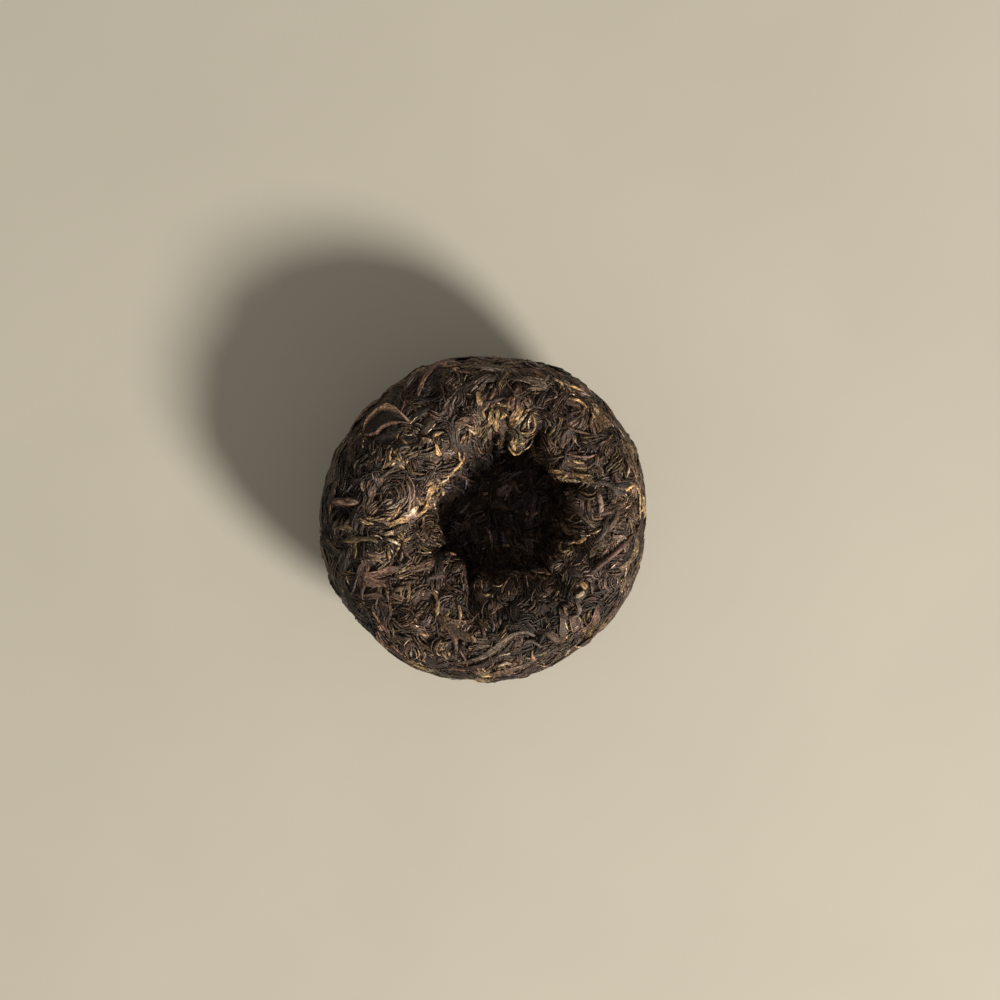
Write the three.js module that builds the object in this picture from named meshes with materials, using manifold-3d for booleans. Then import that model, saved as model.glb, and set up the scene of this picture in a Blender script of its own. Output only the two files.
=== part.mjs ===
// A nest of pressed tea (a tuocha): steamed leaves pressed in a cloth bag into a thick bowl,
// here lying with its hollow up, on the slightly flattened middle of its dome. The bag's knot
// makes the hollow and gathers the leaves round its mouth into radial pleats.
// Millimetres, +Z up. The origin is under the middle of the nest, on the surface it rests on.
import * as THREE from "three";
import { mergeVertices } from "three/addons/utils/BufferGeometryUtils.js";
import Module from "manifold-3d";

// The nest's form, in section: foot, dome, shoulder, crest of the ring, lip, hollow.
const OUTER_RADIUS = 41;
const HEIGHT = 44;
const WIDEST_HEIGHT = 31;
const FOOT_RADIUS = 13;
const CREST_RADIUS = 28;
const MOUTH_RADIUS = 16;
const MOUTH_HEIGHT = 33;
const FLOOR_HEIGHT = 14;
const LIP_FULLNESS = 0.85; // 1 turns in a true quarter of an ellipse, and less is squarer
const HOLLOW_FULLNESS = 0.6;
const HOLLOW_SHIFT = new THREE.Vector2(4.2, 1.4); // the hollow isn't quite in the middle
const HOLLOW_LEAN = new THREE.Vector2(-2.2, 1.9); // from the middle of its mouth to that of its floor

// How far the outline leaves a true circle: lobes round the edge, swell in mm, angle of a lobe.
const OUTLINE_SWELLS = [
  { lobes: 2, swell: 0.5, degrees: 40 },
  { lobes: 3, swell: 0.27, degrees: -64 },
  { lobes: 5, swell: 0.28, degrees: -174 },
  { lobes: 8, swell: 0.26, degrees: -71 },
];

// Pleats that the knot gathers: direction from the hollow's middle at the mouth and at the far
// end, how deep and how wide at the mouth, and how far out from the hollow's middle they reach.
const PLEATS = [
  { degrees: 66, endDegrees: 62, depth: 3.6, width: 1.9, reach: 27 },
  { degrees: 97, endDegrees: 93, depth: 2.2, width: 1.1, reach: 25 },
  { degrees: 86, endDegrees: 88, depth: 1.8, width: 0.9, reach: 26 },
  { degrees: 23, endDegrees: 15, depth: 2.4, width: 1.7, reach: 25 },
  { degrees: -20, endDegrees: -27, depth: 2.2, width: 1.6, reach: 29 },
  { degrees: -53, endDegrees: -51, depth: 2.3, width: 1.8, reach: 27 },
  { degrees: -116, endDegrees: -102, depth: 2.8, width: 1.9, reach: 30 },
  { degrees: -148, endDegrees: -152, depth: 0.8, width: 1.2, reach: 22 },
  { degrees: -170, endDegrees: -176, depth: 0.6, width: 1.2, reach: 25 },
  { degrees: 128, endDegrees: 138, depth: 1.5, width: 1.6, reach: 24 },
];

// Small pits where a leaf has come away: place seen from above, depth and radius. Where the depth
// is below 0 the mass swells instead, as the hollow's lip does on one side.
const PITS = [
  { x: -7.2, y: 12.8, depth: -1.8, radius: 4.5 },
  { x: -34.4, y: 1.4, depth: 1.9, radius: 2.3 },
  { x: -12, y: 30.2, depth: 1.8, radius: 2.4 },
  { x: -12.6, y: -35.4, depth: 1.2, radius: 1.8 },
];

// Unevenness of the pressed mass: waves as long as a clump of leaves, in mm.
const CLUMP_WAVELENGTH = 9;
const RING_UNEVENNESS = 0.75;
const SIDE_UNEVENNESS = 0.2;

// The solid: a core, and the larger leaves lying on it.
const CORE_SINK = 0.75; // the core lies this far under the nest's form
const AROUND = 48;
const ROWS_PER_STAGE = [6, 4, 5, 5]; // dome, shoulder, lip, hollow
const LEAF_COUNT = 185;
const LEAF_LENGTH = [11, 20];
const LEAF_WIDTH = [3.4, 5];
const LEAF_RISE = [0.95, 1.5]; // above the core
const LEAF_STEPS = 5;
const LEAF_ROOT = 0.9; // how deep a leaf's edges and tips sink into the core
const LEAF_KEEL = 2.2; // and how deep its underside does
const FIRST_LEAF_STAGE = 0.2; // no leaves on the foot
const LAST_LEAF_STAGE = 3.7; // nor on the very middle of the hollow
const SEED = 20260;
const CORNER_GRID = 0.002;
const CORNER_GAP = 0.03;

const QUARTER_TURN = Math.PI / 2;
const radians = THREE.MathUtils.degToRad;
const smooth = (value, low, high) => THREE.MathUtils.smoothstep(value, low, high);

// A sine or cosine drawn fuller by a power below 1, and how fast it grows as the turn does.
function quarterShare(value, growth, fullness) {
  const least = 1e-3;
  return [Math.max(value, 0) ** fullness, fullness * Math.max(value, least) ** (fullness - 1) * growth];
}

// A point of the section and its outward direction. The stage runs from 0 at the foot's edge,
// by 1 at the widest place, 2 on the crest and 3 at the mouth, to 4 in the middle of the hollow.
function sectionPoint(stage) {
  const part = Math.min(Math.floor(stage), 3);
  const turn = (stage - part) * QUARTER_TURN;
  const fullness = [1, 1, LIP_FULLNESS, HOLLOW_FULLNESS][part];
  const [s, sGrowth] = quarterShare(Math.sin(turn), Math.cos(turn), fullness);
  const [c, cGrowth] = quarterShare(Math.cos(turn), -Math.sin(turn), fullness);
  const dome = OUTER_RADIUS - FOOT_RADIUS;
  const shoulder = OUTER_RADIUS - CREST_RADIUS;
  const shoulderRise = HEIGHT - WIDEST_HEIGHT;
  const lip = CREST_RADIUS - MOUTH_RADIUS;
  const lipDrop = HEIGHT - MOUTH_HEIGHT;
  const depth = MOUTH_HEIGHT - FLOOR_HEIGHT;
  const [radius, height, alongRadius, alongHeight] = [
    () => [FOOT_RADIUS + dome * s, WIDEST_HEIGHT * (1 - c), dome * sGrowth, -WIDEST_HEIGHT * cGrowth],
    () => [CREST_RADIUS + shoulder * c, WIDEST_HEIGHT + shoulderRise * s, shoulder * cGrowth, shoulderRise * sGrowth],
    () => [CREST_RADIUS - lip * s, MOUTH_HEIGHT + lipDrop * c, -lip * sGrowth, lipDrop * cGrowth],
    () => [MOUTH_RADIUS * c, MOUTH_HEIGHT - depth * s, MOUTH_RADIUS * cGrowth, -depth * sGrowth],
  ][part]();
  const length = Math.hypot(alongRadius, alongHeight);
  return { radius, height, outR: alongHeight / length, outZ: -alongRadius / length };
}

// Smooth unevenness between about -1 and 1, from three crossed waves.
function unevenness(x, y, z, wavelength) {
  const k = (2 * Math.PI) / wavelength;
  const first = Math.sin(k * (x + 0.31 * z) + 1.7 * Math.sin(k * 0.47 * y + 0.6));
  const second = Math.sin(k * (0.83 * y - 0.4 * x) + 1.3 * Math.sin(k * 0.53 * z + 2.1));
  const third = Math.sin(k * (0.9 * z + 0.35 * y) + 1.5 * Math.sin(k * 0.41 * x + 4.2));
  return (first + second + third) / 3;
}

// How deep the pleats cut at a place given from the hollow's middle.
function pleatDepth(distance, angle) {
  let deepest = 0;
  for (const { degrees, endDegrees, depth, width, reach } of PLEATS) {
    const along = THREE.MathUtils.clamp((distance - MOUTH_RADIUS) / (reach - MOUTH_RADIUS), 0, 1);
    const middle = radians(THREE.MathUtils.lerp(degrees, endDegrees, along));
    const away = Math.atan2(Math.sin(angle - middle), Math.cos(angle - middle)) * distance;
    const halfWidth = width * (0.6 + 0.9 * along);
    const fade = smooth(distance, 0.35 * MOUTH_RADIUS, MOUTH_RADIUS) * (1 - smooth(along, 0.35, 1));
    deepest = Math.max(deepest, depth * fade * Math.exp(-((away / halfWidth) ** 2)));
  }
  return deepest;
}

// A point on the nest's form. The relief pushes it along the section's outward direction.
function formPoint(stage, angle, sink = 0) {
  const { radius, height, outR, outZ } = sectionPoint(stage);
  const shift = smooth(stage, 1.3, 2.9);
  const lean = smooth(stage, 2.95, 3.4);
  const cos = Math.cos(angle);
  const sin = Math.sin(angle);
  const swells = OUTLINE_SWELLS.map(({ lobes, swell, degrees }) => swell * Math.cos(lobes * (angle - radians(degrees))));
  const outline = swells.reduce((sum, swell) => sum + swell) * (1 - smooth(stage, 1.4, 2.2));
  const x = HOLLOW_SHIFT.x * shift + HOLLOW_LEAN.x * lean + radius * cos;
  const y = HOLLOW_SHIFT.y * shift + HOLLOW_LEAN.y * lean + radius * sin;
  const fromHollow = new THREE.Vector2(x, y).sub(HOLLOW_SHIFT);
  const onTop = smooth(stage, 1, 1.8);
  const offFoot = smooth(stage, 0, 0.35);
  let relief = outline * (outR > 0 ? outR : 0);
  relief += unevenness(x, y, height, CLUMP_WAVELENGTH) * THREE.MathUtils.lerp(SIDE_UNEVENNESS, RING_UNEVENNESS, onTop);
  relief -= onTop * pleatDepth(fromHollow.length(), Math.atan2(fromHollow.y, fromHollow.x));
  for (const pit of PITS)
    relief -= onTop * pit.depth * Math.exp(-(((x - pit.x) ** 2 + (y - pit.y) ** 2) / pit.radius ** 2));
  relief = (relief - sink) * offFoot;
  return new THREE.Vector3(x + relief * outR * cos, y + relief * outR * sin, Math.max(0, height + relief * outZ));
}

// A closed mesh from its vertices and the vertex numbers of its triangles.
function closedGeometry(points, triangles) {
  const geometry = new THREE.BufferGeometry().setFromPoints(points);
  geometry.setIndex(triangles.flat());
  return geometry;
}

// Triangles that join rows of equally many points, closed into rings, with a point at each end.
function ringTriangles(rowCount, rowLength) {
  const at = (row, column) => 1 + row * rowLength + (column % rowLength);
  const last = 1 + rowCount * rowLength;
  const triangles = [];
  for (let column = 0; column < rowLength; column++) {
    triangles.push([0, at(0, column + 1), at(0, column)]);
    triangles.push([last, at(rowCount - 1, column), at(rowCount - 1, column + 1)]);
    for (let row = 0; row + 1 < rowCount; row++) {
      triangles.push([at(row, column), at(row, column + 1), at(row + 1, column)]);
      triangles.push([at(row, column + 1), at(row + 1, column + 1), at(row + 1, column)]);
    }
  }
  return triangles;
}

// The pressed mass under the leaves: rings from the foot's edge to the middle of the hollow.
function coreGeometry() {
  const stages = ROWS_PER_STAGE.flatMap((rows, part) => Array.from({ length: rows }, (_, row) => part + row / rows));
  const points = [new THREE.Vector3(0, 0, 0)];
  for (const stage of stages)
    for (let column = 0; column < AROUND; column++)
      points.push(formPoint(stage, (column / AROUND) * 2 * Math.PI, CORE_SINK));
  points.push(formPoint(4, 0, CORE_SINK));
  return closedGeometry(points, ringTriangles(stages.length, AROUND));
}

// The directions on the form at a place: up the section, round the nest, and outwards.
function formFrame(stage, angle) {
  const step = 0.01;
  const here = formPoint(stage, angle, CORE_SINK);
  const up = formPoint(stage + step, angle, CORE_SINK).sub(here).divideScalar(step);
  const round = formPoint(stage, angle + step, CORE_SINK).sub(here).divideScalar(step);
  return { here, up, round, out: round.clone().cross(up).normalize() };
}

// Numbers that look random and are the same every time.
function randomNumbers(seed) {
  let state = seed;
  return () => {
    state = (state + 0x6d2b79f5) | 0;
    let mixed = Math.imul(state ^ (state >>> 15), 1 | state);
    mixed = (mixed + Math.imul(mixed ^ (mixed >>> 7), 61 | mixed)) ^ mixed;
    return ((mixed ^ (mixed >>> 14)) >>> 0) / 4294967296;
  };
}

// One leaf: a keeled strip with pointed ends that follows the form, bending as it goes.
function leafGeometry({ stage, angle, heading, bend, length, width, rise, keel }) {
  const step = length / LEAF_STEPS;
  const points = [];
  for (let i = 0; i <= LEAF_STEPS; i++) {
    const { here, up, round, out } = formFrame(stage, angle);
    const along = up.clone().normalize().multiplyScalar(Math.cos(heading));
    along.addScaledVector(round.clone().normalize(), Math.sin(heading)).normalize();
    const side = new THREE.Vector3().crossVectors(along, out).normalize();
    const fullness = Math.sqrt(Math.sin((Math.PI * i) / LEAF_STEPS));
    if (i === 0 || i === LEAF_STEPS) {
      points.push(here.addScaledVector(out, -LEAF_ROOT));
    } else {
      const corner = (sideways, upwards) =>
        here.clone().addScaledVector(side, sideways * width * fullness).addScaledVector(out, upwards);
      points.push(corner(-0.5, -LEAF_ROOT), corner(keel, rise * fullness));
      points.push(corner(0.5, -LEAF_ROOT), corner(0, -LEAF_KEEL));
    }
    stage = THREE.MathUtils.clamp(stage + (step * Math.cos(heading)) / up.length(), 0.05, 3.9);
    angle += (step * Math.sin(heading)) / round.length();
    heading += bend * step;
  }
  return closedGeometry(points, ringTriangles(LEAF_STEPS - 1, 4));
}

// Where the leaves lie: evenly spread over the form's area, and turned as the bag laid them:
// round the nest on its side, in eddies on the ring, and down into the hollow.
function leafPlaces() {
  const random = randomNumbers(SEED);
  const between = ([low, high]) => low + (high - low) * random();
  const strips = 200;
  const areas = [];
  for (let i = 0; i < strips; i++) {
    const stage = THREE.MathUtils.lerp(FIRST_LEAF_STAGE, LAST_LEAF_STAGE, (i + 0.5) / strips);
    const { up, round } = formFrame(stage, 0);
    areas.push({ stage, size: up.length() * round.length() });
  }
  const total = areas.reduce((sum, { size }) => sum + size, 0);
  const goldenTurn = Math.PI * (3 - Math.sqrt(5));
  return Array.from({ length: LEAF_COUNT }, (_, i) => {
    let left = ((i + 0.5) / LEAF_COUNT) * total;
    const { stage } = areas.find(({ size }) => (left -= size) <= 0) ?? areas.at(-1);
    const angle = i * goldenTurn + 0.3 * random();
    const { here } = formFrame(stage, angle);
    const eddy = Math.PI * unevenness(here.x, here.y, here.z, 3 * CLUMP_WAVELENGTH);
    const onSide = 1 - smooth(stage, 0.9, 1.7);
    const inHollow = smooth(stage, 2.7, 3.2);
    const heading = THREE.MathUtils.lerp(eddy, QUARTER_TURN, onSide) * (1 - inHollow) + 0.9 * (random() - 0.5);
    const size = random();
    return {
      stage,
      angle,
      heading,
      bend: 0.12 * (random() - 0.5),
      length: THREE.MathUtils.lerp(...LEAF_LENGTH, size) * (1 - 0.45 * inHollow),
      width: between(LEAF_WIDTH),
      rise: between(LEAF_RISE) * (1 - 0.35 * onSide),
      keel: 0.5 * (random() - 0.5),
    };
  });
}

const wasm = await Module();
wasm.setup();

// A closed geometry as a solid for joining and cutting.
function solidOf(geometry) {
  const bare = geometry.clone();
  bare.deleteAttribute("normal");
  bare.deleteAttribute("uv");
  const merged = mergeVertices(bare, 1e-4);
  return new wasm.Manifold(
    new wasm.Mesh({
      numProp: 3,
      vertProperties: new Float32Array(merged.attributes.position.array),
      triVerts: new Uint32Array(merged.index.array),
    }),
  );
}

// A solid as a geometry.
function geometryOf(solid) {
  const mesh = solid.getMesh();
  const geometry = new THREE.BufferGeometry();
  geometry.setAttribute("position", new THREE.BufferAttribute(mesh.vertProperties, 3));
  geometry.setIndex(new THREE.BufferAttribute(mesh.triVerts, 1));
  return geometry;
}

// Sets every corner of a geometry on a fine grid, and draws apart the corners that meet in one
// place, each one a little further back into its own side of the solid. Gives how many it drew.
function cornersApart(geometry) {
  const { position } = geometry.attributes;
  const onGrid = (value) => Math.round(value / CORNER_GRID) * CORNER_GRID;
  const sharing = new Map();
  for (let i = 0; i < position.count; i++) {
    const place = [position.getX(i), position.getY(i), position.getZ(i)].map(onGrid);
    position.setXYZ(i, ...place);
    sharing.set(place.join(), [...(sharing.get(place.join()) ?? []), i]);
  }
  geometry.computeVertexNormals();
  const normals = geometry.attributes.normal;
  const touching = [...sharing.values()].filter((corners) => corners.length > 1);
  for (const corners of touching)
    for (const [number, i] of corners.entries()) {
      const corner = new THREE.Vector3().fromBufferAttribute(position, i);
      const onFoot = corner.z === 0;
      corner.addScaledVector(new THREE.Vector3().fromBufferAttribute(normals, i), -CORNER_GAP * (number + 1));
      position.setXYZ(i, onGrid(corner.x), onGrid(corner.y), onFoot ? 0 : Math.max(0, onGrid(corner.z)));
    }
  return touching.length;
}

// A solid as one body with no corners that touch and no slivers. Loose scraps are dropped and
// sealed hollows filled, again until moving the corners frees no more.
function settledGeometry(solid) {
  let bodies = [solid];
  let geometry;
  let moved;
  do {
    const largest = bodies.reduce((best, body) => (body.volume() > best.volume() ? body : best));
    geometry = geometryOf(largest.asOriginal().simplify(CORNER_GAP));
    moved = cornersApart(geometry);
    bodies = solidOf(geometry).decompose();
  } while (bodies.length > 1 || moved > 0);
  return geometry;
}

// The whole nest: core and leaves joined, cut off level where it rests.
function nestGeometry() {
  let nest = solidOf(coreGeometry());
  for (const place of leafPlaces()) nest = nest.add(solidOf(leafGeometry(place)));
  const room = 4 * OUTER_RADIUS;
  const aboveSurface = new THREE.BoxGeometry(room, room, room).translate(0, 0, room / 2);
  nest = nest.intersect(solidOf(aboveSurface));
  const geometry = settledGeometry(nest);
  geometry.computeBoundingBox();
  const middle = geometry.boundingBox.getCenter(new THREE.Vector3());
  const onGrid = (value) => Math.round(value / CORNER_GRID) * CORNER_GRID;
  return geometry.translate(-onGrid(middle.x), -onGrid(middle.y), 0);
}

const pressedLeaf = new THREE.MeshStandardMaterial({ color: 0x40322a, roughness: 0.62, metalness: 0 });
const tea = new THREE.Mesh(nestGeometry(), pressedLeaf);
tea.name = "tea_nest";

const tuocha = new THREE.Group();
tuocha.add(tea);
export default tuocha;
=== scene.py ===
"""Dresses a nest of pressed tea: its packed mass, the leaves, buds and stems on it, and a plain stage."""

import functools
import math
from dataclasses import dataclass, field
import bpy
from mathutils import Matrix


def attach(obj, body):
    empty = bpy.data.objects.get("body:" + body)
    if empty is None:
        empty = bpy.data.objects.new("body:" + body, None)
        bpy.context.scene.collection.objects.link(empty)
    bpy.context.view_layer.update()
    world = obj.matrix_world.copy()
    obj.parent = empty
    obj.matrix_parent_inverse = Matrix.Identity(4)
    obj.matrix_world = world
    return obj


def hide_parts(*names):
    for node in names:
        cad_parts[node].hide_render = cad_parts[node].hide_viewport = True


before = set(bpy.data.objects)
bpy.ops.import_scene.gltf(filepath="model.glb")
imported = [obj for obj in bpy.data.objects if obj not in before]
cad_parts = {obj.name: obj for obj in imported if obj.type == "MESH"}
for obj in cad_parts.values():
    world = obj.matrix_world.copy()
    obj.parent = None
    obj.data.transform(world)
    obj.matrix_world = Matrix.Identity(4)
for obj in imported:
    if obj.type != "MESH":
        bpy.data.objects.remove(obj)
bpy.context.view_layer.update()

from types import SimpleNamespace

import bmesh
import bpy
import numpy as np
from bpy.props import FloatProperty, FloatVectorProperty, IntProperty, PointerProperty
from mathutils import Vector
from mathutils.bvhtree import BVHTree

bl_info = {
    "name": "Pressed tea nest",
    "version": (1, 0, 0),
    "blender": (4, 5, 0),
    "location": "View3D > Sidebar > Tea Nest",
    "description": "Lays leaves, buds and stems over the pressed mass of a tea nest",
    "category": "Object",
}

BODY = "root"
NODE = "tea_nest"
MM = 0.001

# The nest's form in section, in mm: foot, dome, shoulder, crest of the ring, lip, hollow.
OUTER_RADIUS = 41.0
HEIGHT = 44.0
WIDEST_HEIGHT = 31.0
FOOT_RADIUS = 13.0
CREST_RADIUS = 28.0
MOUTH_RADIUS = 16.0
MOUTH_HEIGHT = 33.0
FLOOR_HEIGHT = 14.0
LIP_FULLNESS = 0.85  # 1 turns in a true quarter of an ellipse, and less is squarer
HOLLOW_FULLNESS = 0.6
HOLLOW_SHIFT = (4.2, 1.4)
HOLLOW_LEAN = (-2.2, 1.9)  # from the middle of its mouth to that of its floor
FORM_MIDDLE = (0.36, 0.356)  # where the form's own axis stands in the part's frame
FOOT, MIDDLE = -1.0, 4.0  # stages along the section: 0 foot's edge, 1 widest, 2 crest, 3 mouth

# Lobes round the edge, swell in mm, angle of a lobe in degrees.
OUTLINE_SWELLS = ((2, 0.5, 40), (3, 0.27, -64), (5, 0.28, -174), (8, 0.26, -71))

# Pleats gathered by the knot: direction at the mouth and at the far end, depth, width, reach.
PLEATS = (
    (66, 62, 3.6, 1.9, 27),
    (97, 93, 2.2, 1.1, 25),
    (86, 88, 1.8, 0.9, 26),
    (23, 15, 2.4, 1.7, 25),
    (-20, -27, 2.2, 1.6, 29),
    (-53, -51, 2.3, 1.8, 27),
    (-116, -102, 2.8, 1.9, 30),
    (-148, -152, 0.8, 1.2, 22),
    (-170, -176, 0.6, 1.2, 25),
    (128, 138, 1.5, 1.6, 24),
)
# Pits where a leaf has come away, and a swelling of the lip: x, y, depth, radius.
PITS = ((-7.2, 12.8, -1.8, 4.5), (-34.4, 1.4, 1.9, 2.3), (-12.0, 30.2, 1.8, 2.4), (-12.6, -35.4, 1.2, 1.8))
CLUMP_WAVELENGTH = 9.0
RING_UNEVENNESS = 0.75
SIDE_UNEVENNESS = 0.2

# Eddies that the leaves turn round on the ring: x, y, radius and strength.
EDDIES = (
    (-21.8, 6, 5.2, 2.6),
    (11, 24, 3, 1.6),
    (28.8, 5.2, 5, 2),
    (-25, -7, 4, -1.8),
    (-12, 25.5, 4.5, -1.6),
    (22.5, 27, 4.5, 1.8),
    (6, -30, 5, -1.7),
    (25, -18, 4, 1.6),
    (-15, -24, 4.5, 1.6),
    (-30, 19, 3.5, 1.4),
)
SWIRL_WAVELENGTHS = (12.0, 6.0)
SHADE_WAVELENGTH = 7.0  # patches of darker and lighter leaves
# Darker and lighter patches with their own places: x, y, radius, and how far the shade goes.
# Partly the leaves' own tone, partly painted light and shade: the left edge turned from the light,
# the pit under the brown leaf and the hollow's upper wall are darkened as painted shade.
PAINTED_SHADE_AND_TONE_MARKS = (
    (-37, 4, 6.5, -1.3),
    (-30, 13, 6, -1.2),
    (-36, -14, 7, -1.2),
    (-29, -3, 4, -0.8),
    (-33, 1, 2.6, -1.6),
    (-29, -25, 5, -0.6),
    (-13.5, 29, 4.5, -1),
    (-22, 21.5, 4, -0.5),
    (-19.5, 3, 5.5, 0.8),
    (-20, -13, 6, 0.8),
    (-14, -22, 6, 0.8),
    (-10, 15.5, 5.5, 0.7),
    (1, 25, 6, 0.35),
    (27, 26, 7, 0.5),
    (19, 13, 4, 0.35),
    (25, -3, 4.5, 0.4),
    (33, -4, 7, 0.3),
    (17.5, -12, 5, 0.45),
    (28, 6, 4, -0.3),
    (14, -24, 7, -0.75),
    (7, -39, 5.5, -0.5),
    (-3, -41, 8, -0.5),
    (-27, -31, 6, -0.35),
    (-6, 5.5, 3, -0.9),
    (-7.5, -8, 4, -1.1),
    (-5.5, -20, 5, -0.5),
    (10.8, 14, 2, -0.7),
    (15, 35, 6, 0.35),
)

# The curled leaf that lies open like a boat: where, which way, how large, in mm.
BOAT_START = (-29.5, 21.0)
BOAT_END = (-17.6, 23.7)
# Its two edges: how far along from -1 to 1, and how far off the line between its ends.
BOAT_FAR_EDGE = (
    (-1, 0), (-0.95, 0.5), (-0.79, 1.9), (-0.6, 3.1), (-0.17, 4.6),
    (0.3, 5.4), (0.6, 4.3), (0.79, 2.4), (0.91, 1.0), (1, 0),
)
BOAT_NEAR_EDGE = (
    (-1, 0), (-0.89, -0.5), (-0.7, -1.0), (-0.37, -1.0), (-0.08, 0.1),
    (0.23, 0.6), (0.48, 0.65), (0.81, 0.5), (1, 0),
)
BOAT_FLOOR = 0.75  # above the skin
BOAT_WALL = 1.3
BOAT_THICKNESS = 0.32

# Where golden buds come in clusters: x, y, radius.
GOLDEN_PLACES = (
    (3, 25.5, 4),
    (10, 26, 4.5),
    (8, 18.5, 2.5),
    (22.5, 11, 4),
    (-17, 0.5, 5),
    (-22, -4.5, 4),
    (-11.5, 7, 4),
    (-20.5, 14.5, 4),
    (5.2, -36, 2.5),
    (0.5, -38.5, 2.5),
    (21.5, 31.5, 3.5),
    (38.5, 5, 4),
    (-16.5, -35, 2.5),
)

PATH_ROWS = 13  # points along every leaf's path
SKIN_MESH = {"around": 168, "rows": 170}  # the skin that leaves are laid on
MASS_MESH = {"around": 300, "rows": 230}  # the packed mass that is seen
BOAT_GRID = {"x_segments": 40, "y_segments": 26}
# The rims are lighter, partly their own paler edge and partly painted light; the inside is darkened as
# painted shade.
BOAT_FAR_RIM_EDGE_AND_PAINTED_LIGHT, BOAT_NEAR_RIM_EDGE_AND_PAINTED_LIGHT, BOAT_INSIDE_PAINTED_SHADE = (1.6, 1.5, 1.2), 1.4, 0.36  # tints of its colours
MARKED_SEED = 90  # added to the seed for the marked leaves

FLOOR_REACH = 1.6  # in m, like the light's distance and size
KEY_LIGHT = {"azimuth": -42, "elevation": 37, "distance": 1.8, "size": 0.44, "colour": (1.0, 0.965, 0.90)}
FILL_COLOUR = (1.0, 0.965, 0.885, 1)
CAMERA_OVER = (4.25, 4.875)  # the spot in mm that the camera looks straight down on
SENSOR_WIDTH = 36.0


def smooth(value, low, high):
    """Rises from 0 at low to 1 at high, with level ends."""
    share = np.clip((value - low) / (high - low), 0.0, 1.0)
    return share * share * (3.0 - 2.0 * share)


def unit(vectors):
    """The same vectors with length 1."""
    return vectors / np.maximum(np.linalg.norm(vectors, axis=-1, keepdims=True), 1e-9)


# ---------------------------------------------------------------------------------------------
# The nest's form


def quarter_share(value, growth, fullness):
    """A sine or cosine drawn fuller by a power below 1, and how fast it grows as the turn does."""
    return np.maximum(value, 0) ** fullness, fullness * np.maximum(value, 1e-3) ** (fullness - 1) * growth


def section(stage):
    """Radius and height of the section at each stage, and its outward direction."""
    part = np.clip(np.floor(stage), -1, 3)
    turn = (stage - part) * math.pi / 2
    where = [part == number for number in range(-1, 4)]
    fullness = np.select(where, [1.0, 1.0, 1.0, LIP_FULLNESS, HOLLOW_FULLNESS])
    s, s_growth = quarter_share(np.sin(turn), np.cos(turn), fullness)
    c, c_growth = quarter_share(np.cos(turn), -np.sin(turn), fullness)
    dome, shoulder = OUTER_RADIUS - FOOT_RADIUS, OUTER_RADIUS - CREST_RADIUS
    rise, lip = HEIGHT - WIDEST_HEIGHT, CREST_RADIUS - MOUTH_RADIUS
    drop, depth = HEIGHT - MOUTH_HEIGHT, MOUTH_HEIGHT - FLOOR_HEIGHT
    flat, level = stage - part, np.zeros_like(stage)
    ring = (CREST_RADIUS + shoulder * c, CREST_RADIUS - lip * s)
    radius = np.select(where, [FOOT_RADIUS * flat, FOOT_RADIUS + dome * s, *ring, MOUTH_RADIUS * c])
    top = (WIDEST_HEIGHT + rise * s, MOUTH_HEIGHT + drop * c)
    height = np.select(where, [level, WIDEST_HEIGHT * (1 - c), *top, MOUTH_HEIGHT - depth * s])
    along_radius = np.select(
        where, [level + 1, dome * s_growth, shoulder * c_growth, -lip * s_growth, MOUTH_RADIUS * c_growth]
    )
    along_height = np.select(
        where, [level, -WIDEST_HEIGHT * c_growth, rise * s_growth, drop * c_growth, -depth * s_growth]
    )
    length = np.hypot(along_radius, along_height)
    return radius, height, along_height / length, -along_radius / length


def even_stages(low, high, count):
    """Stages from low to high, spaced evenly along the section."""
    fine = np.linspace(low, high, 2001)
    radius, height, _, _ = section(fine)
    length = np.concatenate([[0.0], np.cumsum(np.hypot(np.diff(radius), np.diff(height)))])
    return np.interp(np.linspace(0, length[-1], count), length, fine)


def unevenness(x, y, z, wavelength):
    """Smooth unevenness between about -1 and 1, from three crossed waves."""
    k = 2 * math.pi / wavelength
    first = np.sin(k * (x + 0.31 * z) + 1.7 * np.sin(k * 0.47 * y + 0.6))
    second = np.sin(k * (0.83 * y - 0.4 * x) + 1.3 * np.sin(k * 0.53 * z + 2.1))
    third = np.sin(k * (0.9 * z + 0.35 * y) + 1.5 * np.sin(k * 0.41 * x + 4.2))
    return (first + second + third) / 3


def pleat_depth(distance, angle):
    """How deep the pleats cut at places given from the hollow's middle."""
    deepest = np.zeros_like(distance)
    for degrees, end_degrees, depth, width, reach in PLEATS:
        along = np.clip((distance - MOUTH_RADIUS) / (reach - MOUTH_RADIUS), 0, 1)
        middle = np.radians(degrees + (end_degrees - degrees) * along)
        away = np.arctan2(np.sin(angle - middle), np.cos(angle - middle)) * distance
        half_width = width * (0.6 + 0.9 * along)
        fade = smooth(distance, 0.35 * MOUTH_RADIUS, MOUTH_RADIUS) * (1 - smooth(along, 0.35, 1))
        deepest = np.maximum(deepest, depth * fade * np.exp(-((away / half_width) ** 2)))
    return deepest


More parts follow.
